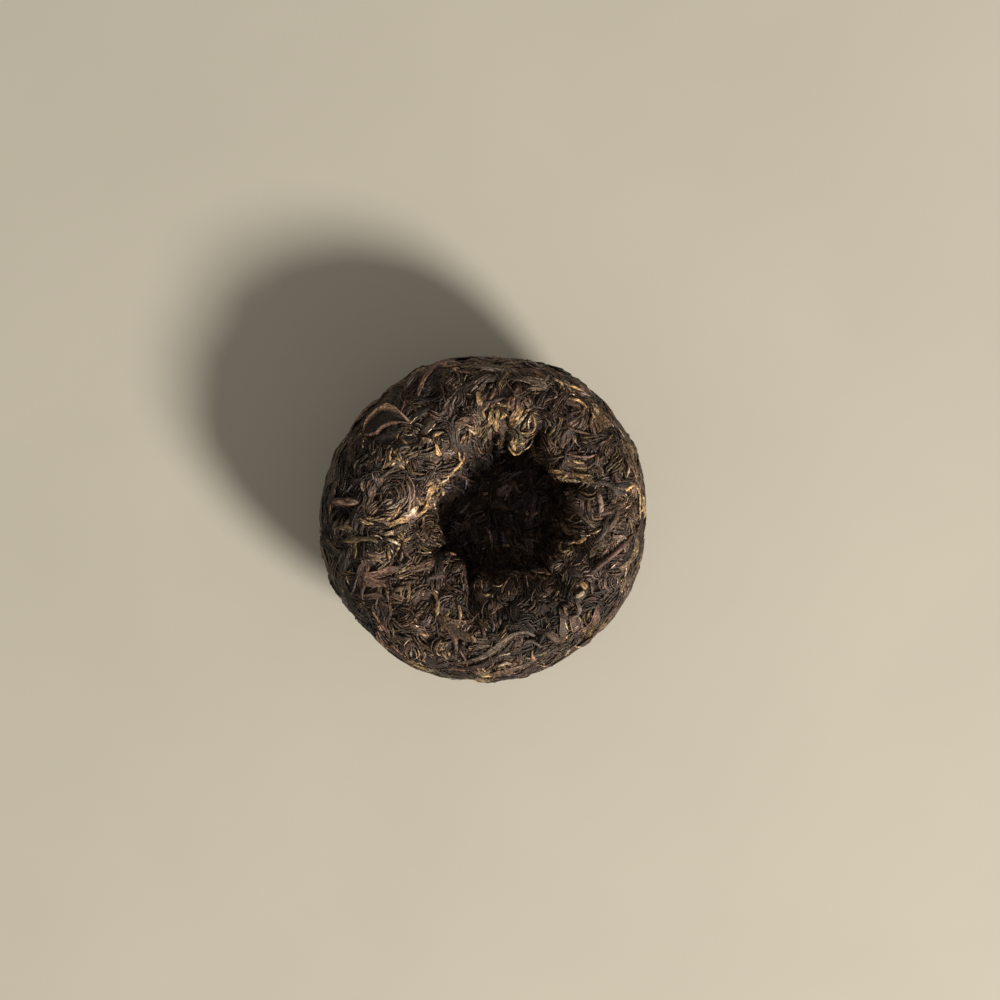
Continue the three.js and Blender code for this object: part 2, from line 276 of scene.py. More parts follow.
def form_points(stage, angle, sink=0.0):
    """Points of the nest's form in mm, pushed in by sink."""
    radius, height, out_r, out_z = section(stage)
    shift, lean = smooth(stage, 1.3, 2.9), smooth(stage, 2.95, 3.4)
    cos, sin = np.cos(angle), np.sin(angle)
    swells = sum(
        swell * np.cos(lobes * (angle - math.radians(degrees))) for lobes, swell, degrees in OUTLINE_SWELLS
    )
    outline = swells * (1 - smooth(stage, 1.4, 2.2))
    x = HOLLOW_SHIFT[0] * shift + HOLLOW_LEAN[0] * lean + radius * cos
    y = HOLLOW_SHIFT[1] * shift + HOLLOW_LEAN[1] * lean + radius * sin
    from_x, from_y = x - HOLLOW_SHIFT[0], y - HOLLOW_SHIFT[1]
    on_top = smooth(stage, 1.0, 1.8)
    relief = outline * np.maximum(out_r, 0)
    relief = relief + unevenness(x, y, height, CLUMP_WAVELENGTH) * (
        SIDE_UNEVENNESS + (RING_UNEVENNESS - SIDE_UNEVENNESS) * on_top
    )
    relief = relief - on_top * pleat_depth(np.hypot(from_x, from_y), np.arctan2(from_y, from_x))
    for pit_x, pit_y, depth, pit_radius in PITS:
        relief = relief - on_top * depth * np.exp(-((x - pit_x) ** 2 + (y - pit_y) ** 2) / pit_radius**2)
    relief = relief * smooth(stage, 0, 0.35) - sink
    return np.stack(
        [
            FORM_MIDDLE[0] + x + relief * out_r * cos,
            FORM_MIDDLE[1] + y + relief * out_r * sin,
            height + relief * out_z,
        ],
        axis=-1,
    )


def form_bmesh(around, rows, sink):
    """The form in mm: a grid wrapped round its section, with the relief pressed into it.

    A grid keeps the same order of points in every run, which a spun line does not.
    """
    bm = bmesh.new()
    bmesh.ops.create_grid(bm, x_segments=around, y_segments=rows - 1, size=0.5)
    grid = np.array([v.co for v in bm.verts]) + 0.5
    column = np.rint(grid[:, 0] * around).astype(int) % around
    row = np.rint(grid[:, 1] * (rows - 1)).astype(int)
    stages = even_stages(FOOT, MIDDLE, rows)
    for vertex, place in zip(bm.verts, form_points(stages[row], 2 * math.pi * column / around, sink)):
        vertex.co = place
    bmesh.ops.remove_doubles(bm, verts=bm.verts, dist=1e-4)
    bmesh.ops.recalc_face_normals(bm, faces=bm.faces)
    return bm


class Skin:
    """The nest's form as a surface that leaves are laid on, in mm."""

    def __init__(self):
        bm = form_bmesh(**SKIN_MESH, sink=0.0)
        bmesh.ops.triangulate(bm, faces=bm.faces)
        bm.normal_update()
        self.tree = BVHTree.FromBMesh(bm)
        self.corners = np.array([[v.index for v in face.verts] for face in bm.faces])
        self.places = np.array([v.co for v in bm.verts])
        self.normals = np.array([v.normal for v in bm.verts])
        bm.free()

    def nearest(self, points):
        """The nearest places on the skin and its smooth normals there."""
        hits = [self.tree.find_nearest(point) for point in points.tolist()]
        places = np.array([hit[0] for hit in hits])
        corners = self.corners[[hit[2] for hit in hits]]
        away = np.linalg.norm(self.places[corners] - places[:, None], axis=2)
        weights = 1 / (away**2 + 0.02)
        return places, unit((self.normals[corners] * weights[..., None]).sum(axis=1))

    def below(self, x, y):
        """The place on the skin seen from straight above a spot, brought inside its edge."""
        inside = min(1.0, (OUTER_RADIUS - 1.2) / math.hypot(x, y))
        return np.array(self.tree.ray_cast((x * inside, y * inside, 2 * HEIGHT), (0, 0, -1))[0])


@functools.lru_cache(maxsize=1)
def nest_skin():
    """The one skin that every leaf is laid on."""
    return Skin()


# ---------------------------------------------------------------------------------------------
# How leaves lie


def swirl(points):
    """A field whose level lines the leaves follow on the ring."""
    x, y, z = points.T
    long_wave, short_wave = SWIRL_WAVELENGTHS
    flow = unevenness(x, y, z, long_wave) + 0.45 * unevenness(x + 40, y - 25, z + 10, short_wave)
    for eddy_x, eddy_y, radius, strength in EDDIES:
        flow = flow + strength * np.exp(-((x - eddy_x) ** 2 + (y - eddy_y) ** 2) / radius**2)
    return flow


def tone_and_painted_shade_at(points):
    """How much darker or lighter leaves are at each place, as the power of e that it multiplies by: random
    tone, and the marks with their painted light and shade.
    """
    x, y, z = points.T
    shade = 0.3 * unevenness(x + 20, y, z, SHADE_WAVELENGTH)
    on_top = smooth(z, 25, 33)
    for mark_x, mark_y, radius, depth in PAINTED_SHADE_AND_TONE_MARKS:
        shade = shade + on_top * depth * np.exp(-((x - mark_x) ** 2 + (y - mark_y) ** 2) / radius**2)
    return shade


def lie(points, normals):
    """The way the leaves run: round the side, in eddies on the ring and down in the hollow."""
    step = 0.2
    slope = np.stack(
        [(swirl(points + step * axis) - swirl(points - step * axis)) / (2 * step) for axis in np.eye(3)],
        axis=-1,
    )
    slope *= SWIRL_WAVELENGTHS[0] / (2 * math.pi)
    middle = np.array([HOLLOW_SHIFT[0], HOLLOW_SHIFT[1], 0.0]) * smooth(points[:, 2:], 34, 40)
    outward = unit((points - middle) * (1, 1, 0))
    lean = (normals * outward).sum(axis=1)[:, None]
    side = smooth(lean, 0.45, 0.9) * (0.35 + 0.65 * smooth(points[:, 2:], 16, 28))
    inner = smooth(-lean, 0.4, 0.85)
    upward = np.array([0.0, 0.0, 1.0])
    around = np.cross(upward, outward)
    push = slope * (1 - 0.7 * side) * (1 - 0.8 * inner) + 0.95 * side * upward + 1.1 * inner * around
    return unit(np.cross(normals, push))


def turned(vectors, axes, angles):
    """Vectors turned about axes at right angles to them."""
    return vectors * np.cos(angles)[:, None] + np.cross(axes, vectors) * np.sin(angles)[:, None]


def trails(skin, middles, headings, lengths, bends, waves, phases, follow):
    """Paths along the skin, each PATH_ROWS points long, and the skin's normals along them."""
    half = PATH_ROWS // 2
    step = lengths / (PATH_ROWS - 1)
    start, normal = skin.nearest(middles)
    rows = {half: (start, normal)}
    for way in (-1, 1):
        points, normals = start, normal
        going = unit(headings - normals * (headings * normals).sum(axis=1)[:, None]) * way
        for row in range(1, half + 1):
            share = way * (row - 0.5) / half
            turn = (bends + waves * np.sin(math.pi * share + phases)) * step * way
            going = turned(going, normals, turn)
            flow = lie(points, normals)
            flow *= np.sign((flow * going).sum(axis=1))[:, None] + 1e-6
            going = unit(going + follow * flow)
            points, normals = skin.nearest(points + going * step[:, None])
            going = unit(going - normals * (going * normals).sum(axis=1)[:, None])
            rows[half + way * row] = (points, normals)
    points = np.stack([rows[row][0] for row in range(PATH_ROWS)], axis=1)
    normals = np.stack([rows[row][1] for row in range(PATH_ROWS)], axis=1)
    points[:, 1:-1] = 0.5 * points[:, 1:-1] + 0.25 * (points[:, :-2] + points[:, 2:])
    return points, unit(normals)


def spread(draw, count, low, high):
    """Stages and angles of places spread evenly over part of the form."""
    strips = np.linspace(low, high, 241)
    middles = (strips[1:] + strips[:-1]) / 2
    here = form_points(middles, np.zeros_like(middles))
    ends = form_points(strips[1:], 0 * middles) - form_points(strips[:-1], 0 * middles)
    length = np.linalg.norm(ends, axis=1)
    total = np.cumsum(length * np.maximum(np.hypot(here[:, 0] - FORM_MIDDLE[0], here[:, 1]), 0.5))
    wanted = (np.arange(count) + draw.random(count)) / count * total[-1]
    stage = middles[np.minimum(np.searchsorted(total, wanted), len(middles) - 1)]
    turn = math.pi * (3 - math.sqrt(5))
    return stage, np.arange(count) * turn + 0.6 * draw.random(count) + 2 * math.pi * draw.random()


def gather(draw, skin, middles, share):
    """Moves a share of the places on the ring into the golden clusters."""
    for number in np.flatnonzero(draw.random(len(middles)) < share):
        x, y, radius = GOLDEN_PLACES[draw.integers(len(GOLDEN_PLACES))]
        away, turn = radius * math.sqrt(draw.random()), 2 * math.pi * draw.random()
        x, y = off_hollow(x + away * math.cos(turn), y + away * math.sin(turn))
        middles[number] = skin.below(x, y)


def pleat_at(places):
    """How deep the pleats are at places on the ring."""
    from_x, from_y = places[:, 0] - HOLLOW_SHIFT[0], places[:, 1] - HOLLOW_SHIFT[1]
    depth = pleat_depth(np.hypot(from_x, from_y), np.arctan2(from_y, from_x))
    return (depth * smooth(places[:, 2], 33, 38))[:, None]


def near_boat(places):
    """1 for places under the open leaf, 0 for places well away from it."""
    middle = (np.array(BOAT_START) + np.array(BOAT_END)) / 2 + (-0.6, 1.8)
    return 1 - smooth(np.linalg.norm(places[:, :2] - middle, axis=1, keepdims=True), 5.0, 8.0)


def off_hollow(x, y, clear=1.0):
    """A spot seen from above, moved out of the hollow on to its lip if it lies in it."""
    from_x, from_y = x - HOLLOW_SHIFT[0], y - HOLLOW_SHIFT[1]
    out = max(1.0, (MOUTH_RADIUS + clear) / max(math.hypot(from_x, from_y), 1e-6))
    return HOLLOW_SHIFT[0] + from_x * out, HOLLOW_SHIFT[1] + from_y * out


# ---------------------------------------------------------------------------------------------
# How one leaf is made


def leaf_template(sides, steps=PATH_ROWS - 1, ridge=0.0, blunt=0.5):
    """One leaf of half-width and half-thickness 1, rolled from a grid along its path.

    ridge draws in every other corner of its section, and blunt rounds its ends as it goes to 0.
    """
    bm = bmesh.new()
    bmesh.ops.create_grid(bm, x_segments=sides, y_segments=steps, size=0.5)
    for vertex in bm.verts:
        column, step = round((vertex.co.x + 0.5) * sides), round((vertex.co.y + 0.5) * steps)
        share = round(step * (PATH_ROWS - 1) / steps) / (PATH_ROWS - 1)
        turn = 2 * math.pi * (column % sides) / sides
        reach = max(0.0, math.sin(math.pi * share)) ** blunt * (1 - ridge * (column % 2))
        vertex.co = (reach * math.cos(turn), reach * math.sin(turn), share)
        if share in (0, 1):
            vertex.co = (0, 0, share)
    bmesh.ops.remove_doubles(bm, verts=bm.verts, dist=1e-5)
    bmesh.ops.recalc_face_normals(bm, faces=bm.faces)
    bm.verts.index_update()
    shape = np.array([v.co for v in bm.verts])
    faces = [[v.index for v in face.verts] for face in bm.faces]
    bm.free()
    share = shape[:, 2]
    full = np.maximum(0.0, np.sin(math.pi * share)) ** blunt
    rows = np.rint(share * (PATH_ROWS - 1)).astype(int)
    return SimpleNamespace(across=shape[:, 0], up=shape[:, 1], full=full, share=share, rows=rows, faces=faces)


def bent_leaves(template, points, normals, leaf, draw):
    """The template bent along each path. Gives places, faces, colours and grain, all joined."""
    along = unit(np.gradient(points, axis=1))
    side = unit(np.cross(normals, along))
    out = np.cross(along, side)
    rows, share, full = template.rows, template.share, template.full
    count, corners = len(points), len(rows)
    ragged = 1 + leaf.ragged * draw.normal(0, 1, (count, PATH_ROWS))[:, rows]
    ragged += 0.15 * np.sin(2 * math.pi * (1.7 * share + leaf.phase))
    across = template.across * ragged * leaf.width / 2
    wander = leaf.phase + 0.3 * np.sin(2 * math.pi * (share + 3 * leaf.phase))
    crease = np.sin(2 * math.pi * (leaf.creases * template.across + wander)) * full
    up = template.up * leaf.thickness / 2 + leaf.crease_depth * crease
    up = up + leaf.cup * (template.across**2 - 0.4 * full**2) * leaf.width / 2
    up = up + leaf.crumple * full * draw.normal(0, 1, (count, corners))
    roll = leaf.roll + leaf.twist * (share - 0.5)
    sideways = across * np.cos(roll) - up * np.sin(roll)
    upwards = across * np.sin(roll) + up * np.cos(roll)
    upwards = upwards + leaf.lift + leaf.arch * np.sin(math.pi * share) - leaf.tuck * (2 * share - 1) ** 4
    places = points[:, rows] + side[:, rows] * sideways[..., None] + out[:, rows] * upwards[..., None]
    places[..., 2] = np.maximum(places[..., 2], leaf.level)

    tip = smooth(share, 0.62, 0.95) * leaf.tip
    rim = smooth(np.abs(template.across), 0.7, 1.0) * leaf.rim
    pale = np.maximum(tip, rim)[..., None]
    # painted shade and light: the section's grooves, the leaf's ends and crease valleys darker, ridges and
    # crease tops lighter; random blotches on top
    painted_groove_shade_and_blotches = 0.72 + 0.4 * np.hypot(template.across, template.up) ** 2 + leaf.crease_shade * crease
    painted_groove_shade_and_blotches = painted_groove_shade_and_blotches * np.exp(draw.normal(0, leaf.blotches, (count, corners)))
    colours = leaf.colour[:, None] * (1 - pale) + leaf.tip_colour[:, None] * pale
    colours = np.concatenate([colours * painted_groove_shade_and_blotches[..., None], np.ones((count, corners, 1))], axis=2)
    grain = np.stack([across + 7 * leaf.phase, up, share * leaf.length + 31 * leaf.phase], axis=-1)
    faces = [
        [corner + corners * number for corner in face] for number in range(count) for face in template.faces
    ]
    return places.reshape(-1, 3), faces, colours.reshape(-1, 4), grain.reshape(-1, 3)


ZONES = {  # stages of the section, and how leaf sizes, heights and directions change there
    "foot": {
        "stages": (-0.97, 0.1), "long": 1.2, "wide": 1.2, "lift": (-0.6, -0.25), "thick": 0.55, "curl": 0.25,
        "bend": 0.9, "stray": 1.5, "tint": (1.08, 1.02, 0.93),
    },
    "side": {
        "stages": (0.1, 1.6), "long": 1.25, "wide": 1.2, "lift": (-0.6, -0.2), "thick": 0.55, "curl": 0.2,
        "bend": 0.9, "stray": 1.5, "tint": (1.08, 1.02, 0.93),
    },
    "ring": {
        "stages": (1.3, 2.85), "long": 1.0, "wide": 1.0, "lift": (-0.7, 0.4), "thick": 1.0, "curl": 1.0,
        "bend": 1.0, "stray": 1.0, "tint": (1.06, 1.04, 1.02),
    },
    "hollow": {
        "stages": (2.85, 3.93), "long": 0.9, "wide": 1.0, "lift": (-0.7, 0.2), "thick": 1.0, "curl": 0.8,
        "bend": 0.9, "stray": 1.0, "tint": (1.0, 1.0, 1.0),
    },
}
# Painted shade in the hollow: its wall darkened where shade falls, its deep floor given the paler, bluer tone
# of shade.
HOLLOW_WALL_PAINTED_SHADE = (0.74, 0.73, 0.76)
HOLLOW_FLOOR_PAINTED_SHADE_TINT = (1.5, 1.75, 2.5)  # painted: leaves on the shaded floor deep in the hollow are made paler and bluer, with less gold in them
HUE_SPREAD = (0.01, -0.03, 0.13)  # from olive to purple brown, as powers of e
SHADE_WARMTH = (1.0, 1.08, 1.13)  # darker leaves are warmer and paler ones greyer

ROLLED = {"sides": 6, "ridge": 0.42}
BROAD = {"sides": 14, "steps": 9, "blunt": 0.42}
RIBBON = {"sides": 4, "steps": 8, "blunt": 0.55}
THREAD = {"sides": 3, "steps": 8, "blunt": 0.45}
STEM = {"sides": 5, "steps": 6, "blunt": 0.25}
CHIP = {"sides": 4, "steps": 2, "blunt": 0.5}
PALE_TIP = (0.32, 0.215, 0.120)


@dataclass
class Kind:
    """How one kind of leaf looks and lies, in mm and radians. The counts are for each zone in turn."""

    counts: tuple
    length: tuple
    width: tuple
    colour: str
    other_colour: str
    template: dict = field(default_factory=lambda: ROLLED)
    strands: int = 1
    span: tuple = (0.0, 0.0)
    dome: float = 0.0
    thickness: tuple = (0.45, 0.8)
    stray: float = 0.35
    loose: float = 0.14
    curl: float = 0.16
    follow: float = 0.22
    roll: float = 0.5
    twist: float = 3.0
    raised: float = 0.0
    arch: float = 0.3
    ragged: float = 0.1
    crumple: float = 0.09
    blotches: float = 0.22
    creases: tuple = (0.0, 0.0)
    crease_depth: float = 0.0
    cup: float = 0.0
    tipped: float = 0.15
    rimmed: float = 0.0
    tip_colour: str = ""  # PALE_TIP where none is named
    shade_spread: float = 0.42
    gathered: float = 0.0


FLAT = {
    "template": BROAD, "thickness": (0.14, 0.24), "roll": 0.2, "twist": 0.6, "curl": 0.12, "cup": 0.25,
    "creases": (0.9, 1.7), "crease_depth": 0.26, "crumple": 0.08, "ragged": 0.14, "raised": 0.0,
    "loose": 0.15, "stray": 0.5, "tipped": 0.05,
}
LOCK = {
    "template": RIBBON, "thickness": (0.3, 0.65), "strands": 6, "span": (1.6, 3.6), "dome": 0.4, "curl": 0.32,
    "stray": 0.45, "loose": 0.22, "follow": 0.14, "roll": 0.8, "twist": 1.6, "arch": 0.3, "crumple": 0.04,
    "ragged": 0.25, "tipped": 0.15,
}
BUD = {
    "template": {"sides": 6, "ridge": 0.2, "blunt": 0.6}, "raised": 0.15, "gathered": 0.75, "curl": 0.2,
    "twist": 1.5, "tipped": 0.5, "tip_colour": "cream_other", "stray": 0.6, "shade_spread": 0.5,
}
STALK = {
    "template": STEM, "thickness": (0.7, 1.0), "raised": 0.1, "curl": 0.05, "twist": 0.6, "tipped": 0.2,
    "stray": 0.5,
}
CURL = {"template": THREAD, "thickness": (0.6, 1.0), "raised": 0.3}
PALE_CURL = {
    **CURL, "curl": 0.35, "gathered": 0.4, "tipped": 0.0, "stray": 0.5, "shade_spread": 0.5,
}
DARK_CURL = {**CURL, "curl": 0.4, "tipped": 0.1, "stray": 0.6}
BIT = {
    "template": CHIP, "thickness": (0.4, 0.8), "raised": -0.05, "arch": 0.1, "loose": 0.5, "tipped": 0.2,
    "shade_spread": 0.55,
}

# The counts for each zone, the lengths, the widths and the two colours of every kind.
KINDS = {
    "broad_dark_leaves": Kind((26, 190, 115, 40), (6, 13), (1.7, 3.2), "dark", "brown", rimmed=0.2, **FLAT),
    "broad_brown_leaves": Kind((26, 190, 105, 24), (5, 12), (1.6, 2.9), "brown", "rosy", rimmed=0.25, **FLAT),
    "matted_dark_strands": Kind((10, 110, 205, 50), (4, 13), (0.3, 0.8), "dark", "brown", **LOCK),
    "matted_brown_strands": Kind((10, 110, 200, 24), (4, 12), (0.3, 0.8), "brown", "brown_other", **LOCK),
    "matted_grey_strands": Kind((6, 70, 125, 24), (4, 12), (0.3, 0.75), "grey", "grey_other", **LOCK),
    "matted_olive_strands": Kind((6, 60, 80, 4), (4, 11), (0.3, 0.75), "olive", "olive_other", **LOCK),
    "dark_leaves": Kind((8, 60, 220, 100), (4, 10), (0.6, 1.4), "dark", "dark_other"),
    "brown_leaves": Kind((8, 60, 200, 50), (4, 9), (0.6, 1.3), "brown", "brown_other"),
    "grey_leaves": Kind((4, 30, 110, 30), (4, 10), (0.6, 1.3), "grey", "grey_other"),
    "olive_leaves": Kind((4, 30, 90, 8), (4, 8), (0.6, 1.2), "olive", "olive_other"),
    "golden_buds": Kind((2, 18, 190, 3), (3, 6.5), (0.6, 1.2), "golden", "golden_other", **BUD),
    "reddish_stems": Kind((5, 50, 110, 14), (5, 12), (0.5, 1.0), "reddish", "reddish_other", **STALK),
    "pale_curls": Kind((2, 20, 260, 8), (1.6, 6), (0.22, 0.42), "cream", "cream_other", **PALE_CURL),
    "dark_curls": Kind((4, 50, 330, 60), (3, 8), (0.3, 0.6), "dark_other", "grey", **DARK_CURL),
    "broken_bits": Kind((60, 600, 2000, 300), (0.8, 2.4), (0.4, 1.0), "dark_other", "grey_other", **BIT),
}


def look_colour(name):
    """A colour that the settings give, by its name without its ending."""
    return np.array(getattr(bpy.context.scene.tea_nest, name + "_colour"))


def between(draw, low_high, count):
    """Evenly drawn numbers from low to high, one below the other."""
    low, high = low_high
    return low + (high - low) * draw.random((count, 1))


def lay_kinds(*names, roughness, **finish):
    """Scatters kinds of leaf over the nest, each as one piece with its own finish and its own seed."""
    for name in names:
        kind = KINDS[name]
        draw = np.random.default_rng(bpy.context.scene.tea_nest.seed + sum(name.encode()))
        template = leaf_template(**kind.template)
        joined = [
            zone_leaves(draw, template, kind, room, count, on_ring=zone == "ring")
            for (zone, room), count in zip(ZONES.items(), kind.counts)
        ]
        join_and_dress(name, joined, leaf_finish(name + "_finish", roughness, **finish))


def parted(draw, points, normals, kind, span):
    """Each path parted into strands side by side with ragged ends: their paths and places across it."""
    count = len(points)
    side = unit(np.cross(normals, np.gradient(points, axis=1)))
    start, end = 0.3 * draw.random((count, kind.strands, 1)), 1 - 0.3 * draw.random((count, kind.strands, 1))
    along = start + (end - start) * np.linspace(0, 1, PATH_ROWS)
    across = np.linspace(-1, 1, kind.strands)[:, None] + draw.normal(0, 0.12, (count, kind.strands, 1))
    wander = 0.1 * np.sin(2 * math.pi * (1.2 * along + draw.random((count, kind.strands, 1))))
    offset = (across * (0.45 + 0.55 * np.sin(math.pi * along)) + wander) * span[:, None] / 2
    low = np.minimum((along * (PATH_ROWS - 1)).astype(int), PATH_ROWS - 2)
    part = (along * (PATH_ROWS - 1) - low)[..., None]
    number = np.arange(count)[:, None, None]
    paths = points[number, low] * (1 - part) + points[number, low + 1] * part
    paths = paths + side[number, low] * offset[..., None]
    shape = (count * kind.strands, PATH_ROWS, 3)
    return paths.reshape(shape), normals[number, low].reshape(shape), across.reshape(-1, 1)


def zone_leaves(draw, template, kind, room, locks, on_ring):
    """One kind of leaf in one zone. Each lock of leaves holds as many strands as the kind says."""
    skin = nest_skin()
    stage, angle = spread(draw, locks, *room["stages"])
    middles = form_points(stage, angle)
    if on_ring:
        gather(draw, skin, middles, kind.gathered)
    _, normals = skin.nearest(middles)
    stray = draw.normal(0, 1, locks) * kind.stray * room["stray"]
    stray = np.where(draw.random(locks) < kind.loose * room["stray"], draw.random(locks) * 2 * math.pi, stray)
    headings = turned(lie(middles, normals), normals, stray)
    length = between(draw, kind.length, locks) * room["long"]
    curl = kind.curl * room["bend"]
    bends, waves = draw.normal(0, 0.5, locks) * curl, draw.normal(0, 0.8, locks) * curl
    phases = draw.random(locks) * 2 * math.pi
    points, normals = trails(skin, middles, headings, length[:, 0], bends, waves, phases, kind.follow)
    across = np.zeros((locks, 1))
    if kind.strands > 1:
        points, normals, across = parted(draw, points, normals, kind, between(draw, kind.span, locks))

    count = locks * kind.strands
    lock = np.repeat(np.arange(locks), kind.strands)
    width = between(draw, kind.width, count) * room["wide"]
    pick = np.clip(draw.random((locks, 1))[lock] + draw.normal(0, 0.2, (count, 1)) * (kind.strands > 1), 0, 1)
    in_pleat = pleat_at(middles)
    # painted shade: leaves in the pleats are darkened by the pleat's depth
    shade = tone_and_painted_shade_at(middles)[:, None] - 0.15 * in_pleat
    shade = np.exp(np.clip(draw.normal(0, kind.shade_spread, (locks, 1)) + shade, -2.5, 0.75)[lock])
    shade = shade * np.exp(draw.normal(0, 0.28, (count, 1)) * (kind.strands > 1))
    shade = shade**SHADE_WARMTH
    tint = np.exp(np.clip(draw.normal(0, 1, (locks, 1)), -1.5, 1.0) * HUE_SPREAD)[lock] * room["tint"]
    # painted shade on the hollow's wall, blending into the painted shade tint of its floor
    if room is ZONES["hollow"]:
        depth = 1 - smooth(middles[lock, 2:], 16, 22)
        tint = tint * np.array(HOLLOW_WALL_PAINTED_SHADE) ** (1 - depth) * np.array(HOLLOW_FLOOR_PAINTED_SHADE_TINT) ** depth
    lift = between(draw, room["lift"], locks)[lock] + kind.raised * room["curl"]
    lift = lift + kind.dome * room["thick"] * (1 - across**2)
    lift = lift + draw.normal(0, 0.12, (count, 1)) * (kind.strands > 1)
    if on_ring:
        lift = lift - 0.5 * (1 - smooth(stage, 1.3, 1.8))[lock][:, None]
    lift = lift - (0.35 * in_pleat + 1.1 * near_boat(middles))[lock]
    dive = np.maximum(lift + between(draw, (0.3, 1.0), count), 0.15)
    leaf = SimpleNamespace(
        length=length[lock],
        width=width,
        thickness=width * between(draw, kind.thickness, count) * room["thick"],
        phase=draw.random((count, 1)),
        ragged=kind.ragged,
        roll=draw.normal(0, kind.roll, (count, 1)) * (0.3 + 0.7 * room["curl"]),
        twist=draw.normal(0, kind.twist, (count, 1)) * (0.3 + 0.7 * room["curl"]),
        creases=between(draw, kind.creases, count),
        crease_depth=kind.crease_depth * between(draw, (0.5, 1.2), count) * room["thick"],
        crease_shade=0.35 if kind.crease_depth else 0.0,
        cup=draw.normal(0, kind.cup, (count, 1)) * room["curl"],
        crumple=kind.crumple,
        blotches=kind.blotches,
        lift=lift,
        arch=between(draw, (0.0, kind.arch), count) * room["curl"],
        tuck=np.where(draw.random((count, 1)) < 0.8, dive, 0.2),
        level=between(draw, (0.02, 0.3), count),
        tip=(draw.random((count, 1)) < kind.tipped) * draw.random((count, 1)),
        rim=(draw.random((count, 1)) < kind.rimmed) * draw.random((count, 1)),
        colour=(look_colour(kind.colour) * (1 - pick) + look_colour(kind.other_colour) * pick) * shade * tint,
        tip_colour=np.tile(look_colour(kind.tip_colour) if kind.tip_colour else PALE_TIP, (count, 1)),
    )
    return bent_leaves(template, points, normals, leaf, draw)


def join_and_dress(name, joined, material):
    """Groups of leaves as one piece, with a colour and a place along its leaf at every point."""
    places, faces, colours, grain, first = [], [], [], [], 0
    for group_places, group_faces, group_colours, group_grain in joined:
        places.append(group_places)
        faces += [[corner + first for corner in face] for face in group_faces]
        colours.append(group_colours)
        grain.append(group_grain)
        first += len(group_places)
    mesh = bpy.data.meshes.new(name)
    mesh.from_pydata((np.concatenate(places) * MM).tolist(), [], faces)
    return dressed(name, mesh, material, np.concatenate(colours), np.concatenate(grain))


def dressed(name, mesh, material, colours, grain):
    """A finished mesh as a piece that rides on the nest's body and stands for its node."""
    mesh.attributes.new("leaf_colour", "FLOAT_COLOR", "POINT").data.foreach_set("color", colours.ravel())
    mesh.attributes.new("leaf_grain", "FLOAT_VECTOR", "POINT").data.foreach_set("vector", grain.ravel())
    mesh.polygons.foreach_set("use_smooth", np.ones(len(mesh.polygons), bool))
    mesh.materials.append(material)
    mesh.update()
    piece = bpy.data.objects.new(name, mesh)
    bpy.context.scene.collection.objects.link(piece)
    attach(piece, BODY)
    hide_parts(NODE)
    return piece


# ---------------------------------------------------------------------------------------------
# Leaves that have their own places


@dataclass
class Marked:
    """A leaf with its own place: the spots that it runs through seen from above, its width and colours."""

    form: str
    colours: str
    width: float
    plan: tuple
    raised: float = 0.35
    arch: float = 0.4
    roll: float = 0.0
    twist: float = 0.4
    cup: float = 0.0
    tip: float = 0.0
    rim: float = 0.0
    in_hollow: bool = False


def broad(colours, width, *plan, **shape):
    """A broad leaf with its own place."""
    return Marked("broad", colours, width, plan, **shape)


def strand(colours, width, *plan, **shape):
    """A rolled or threadlike leaf with its own place."""
    return Marked("strand", colours, width, plan, **shape)


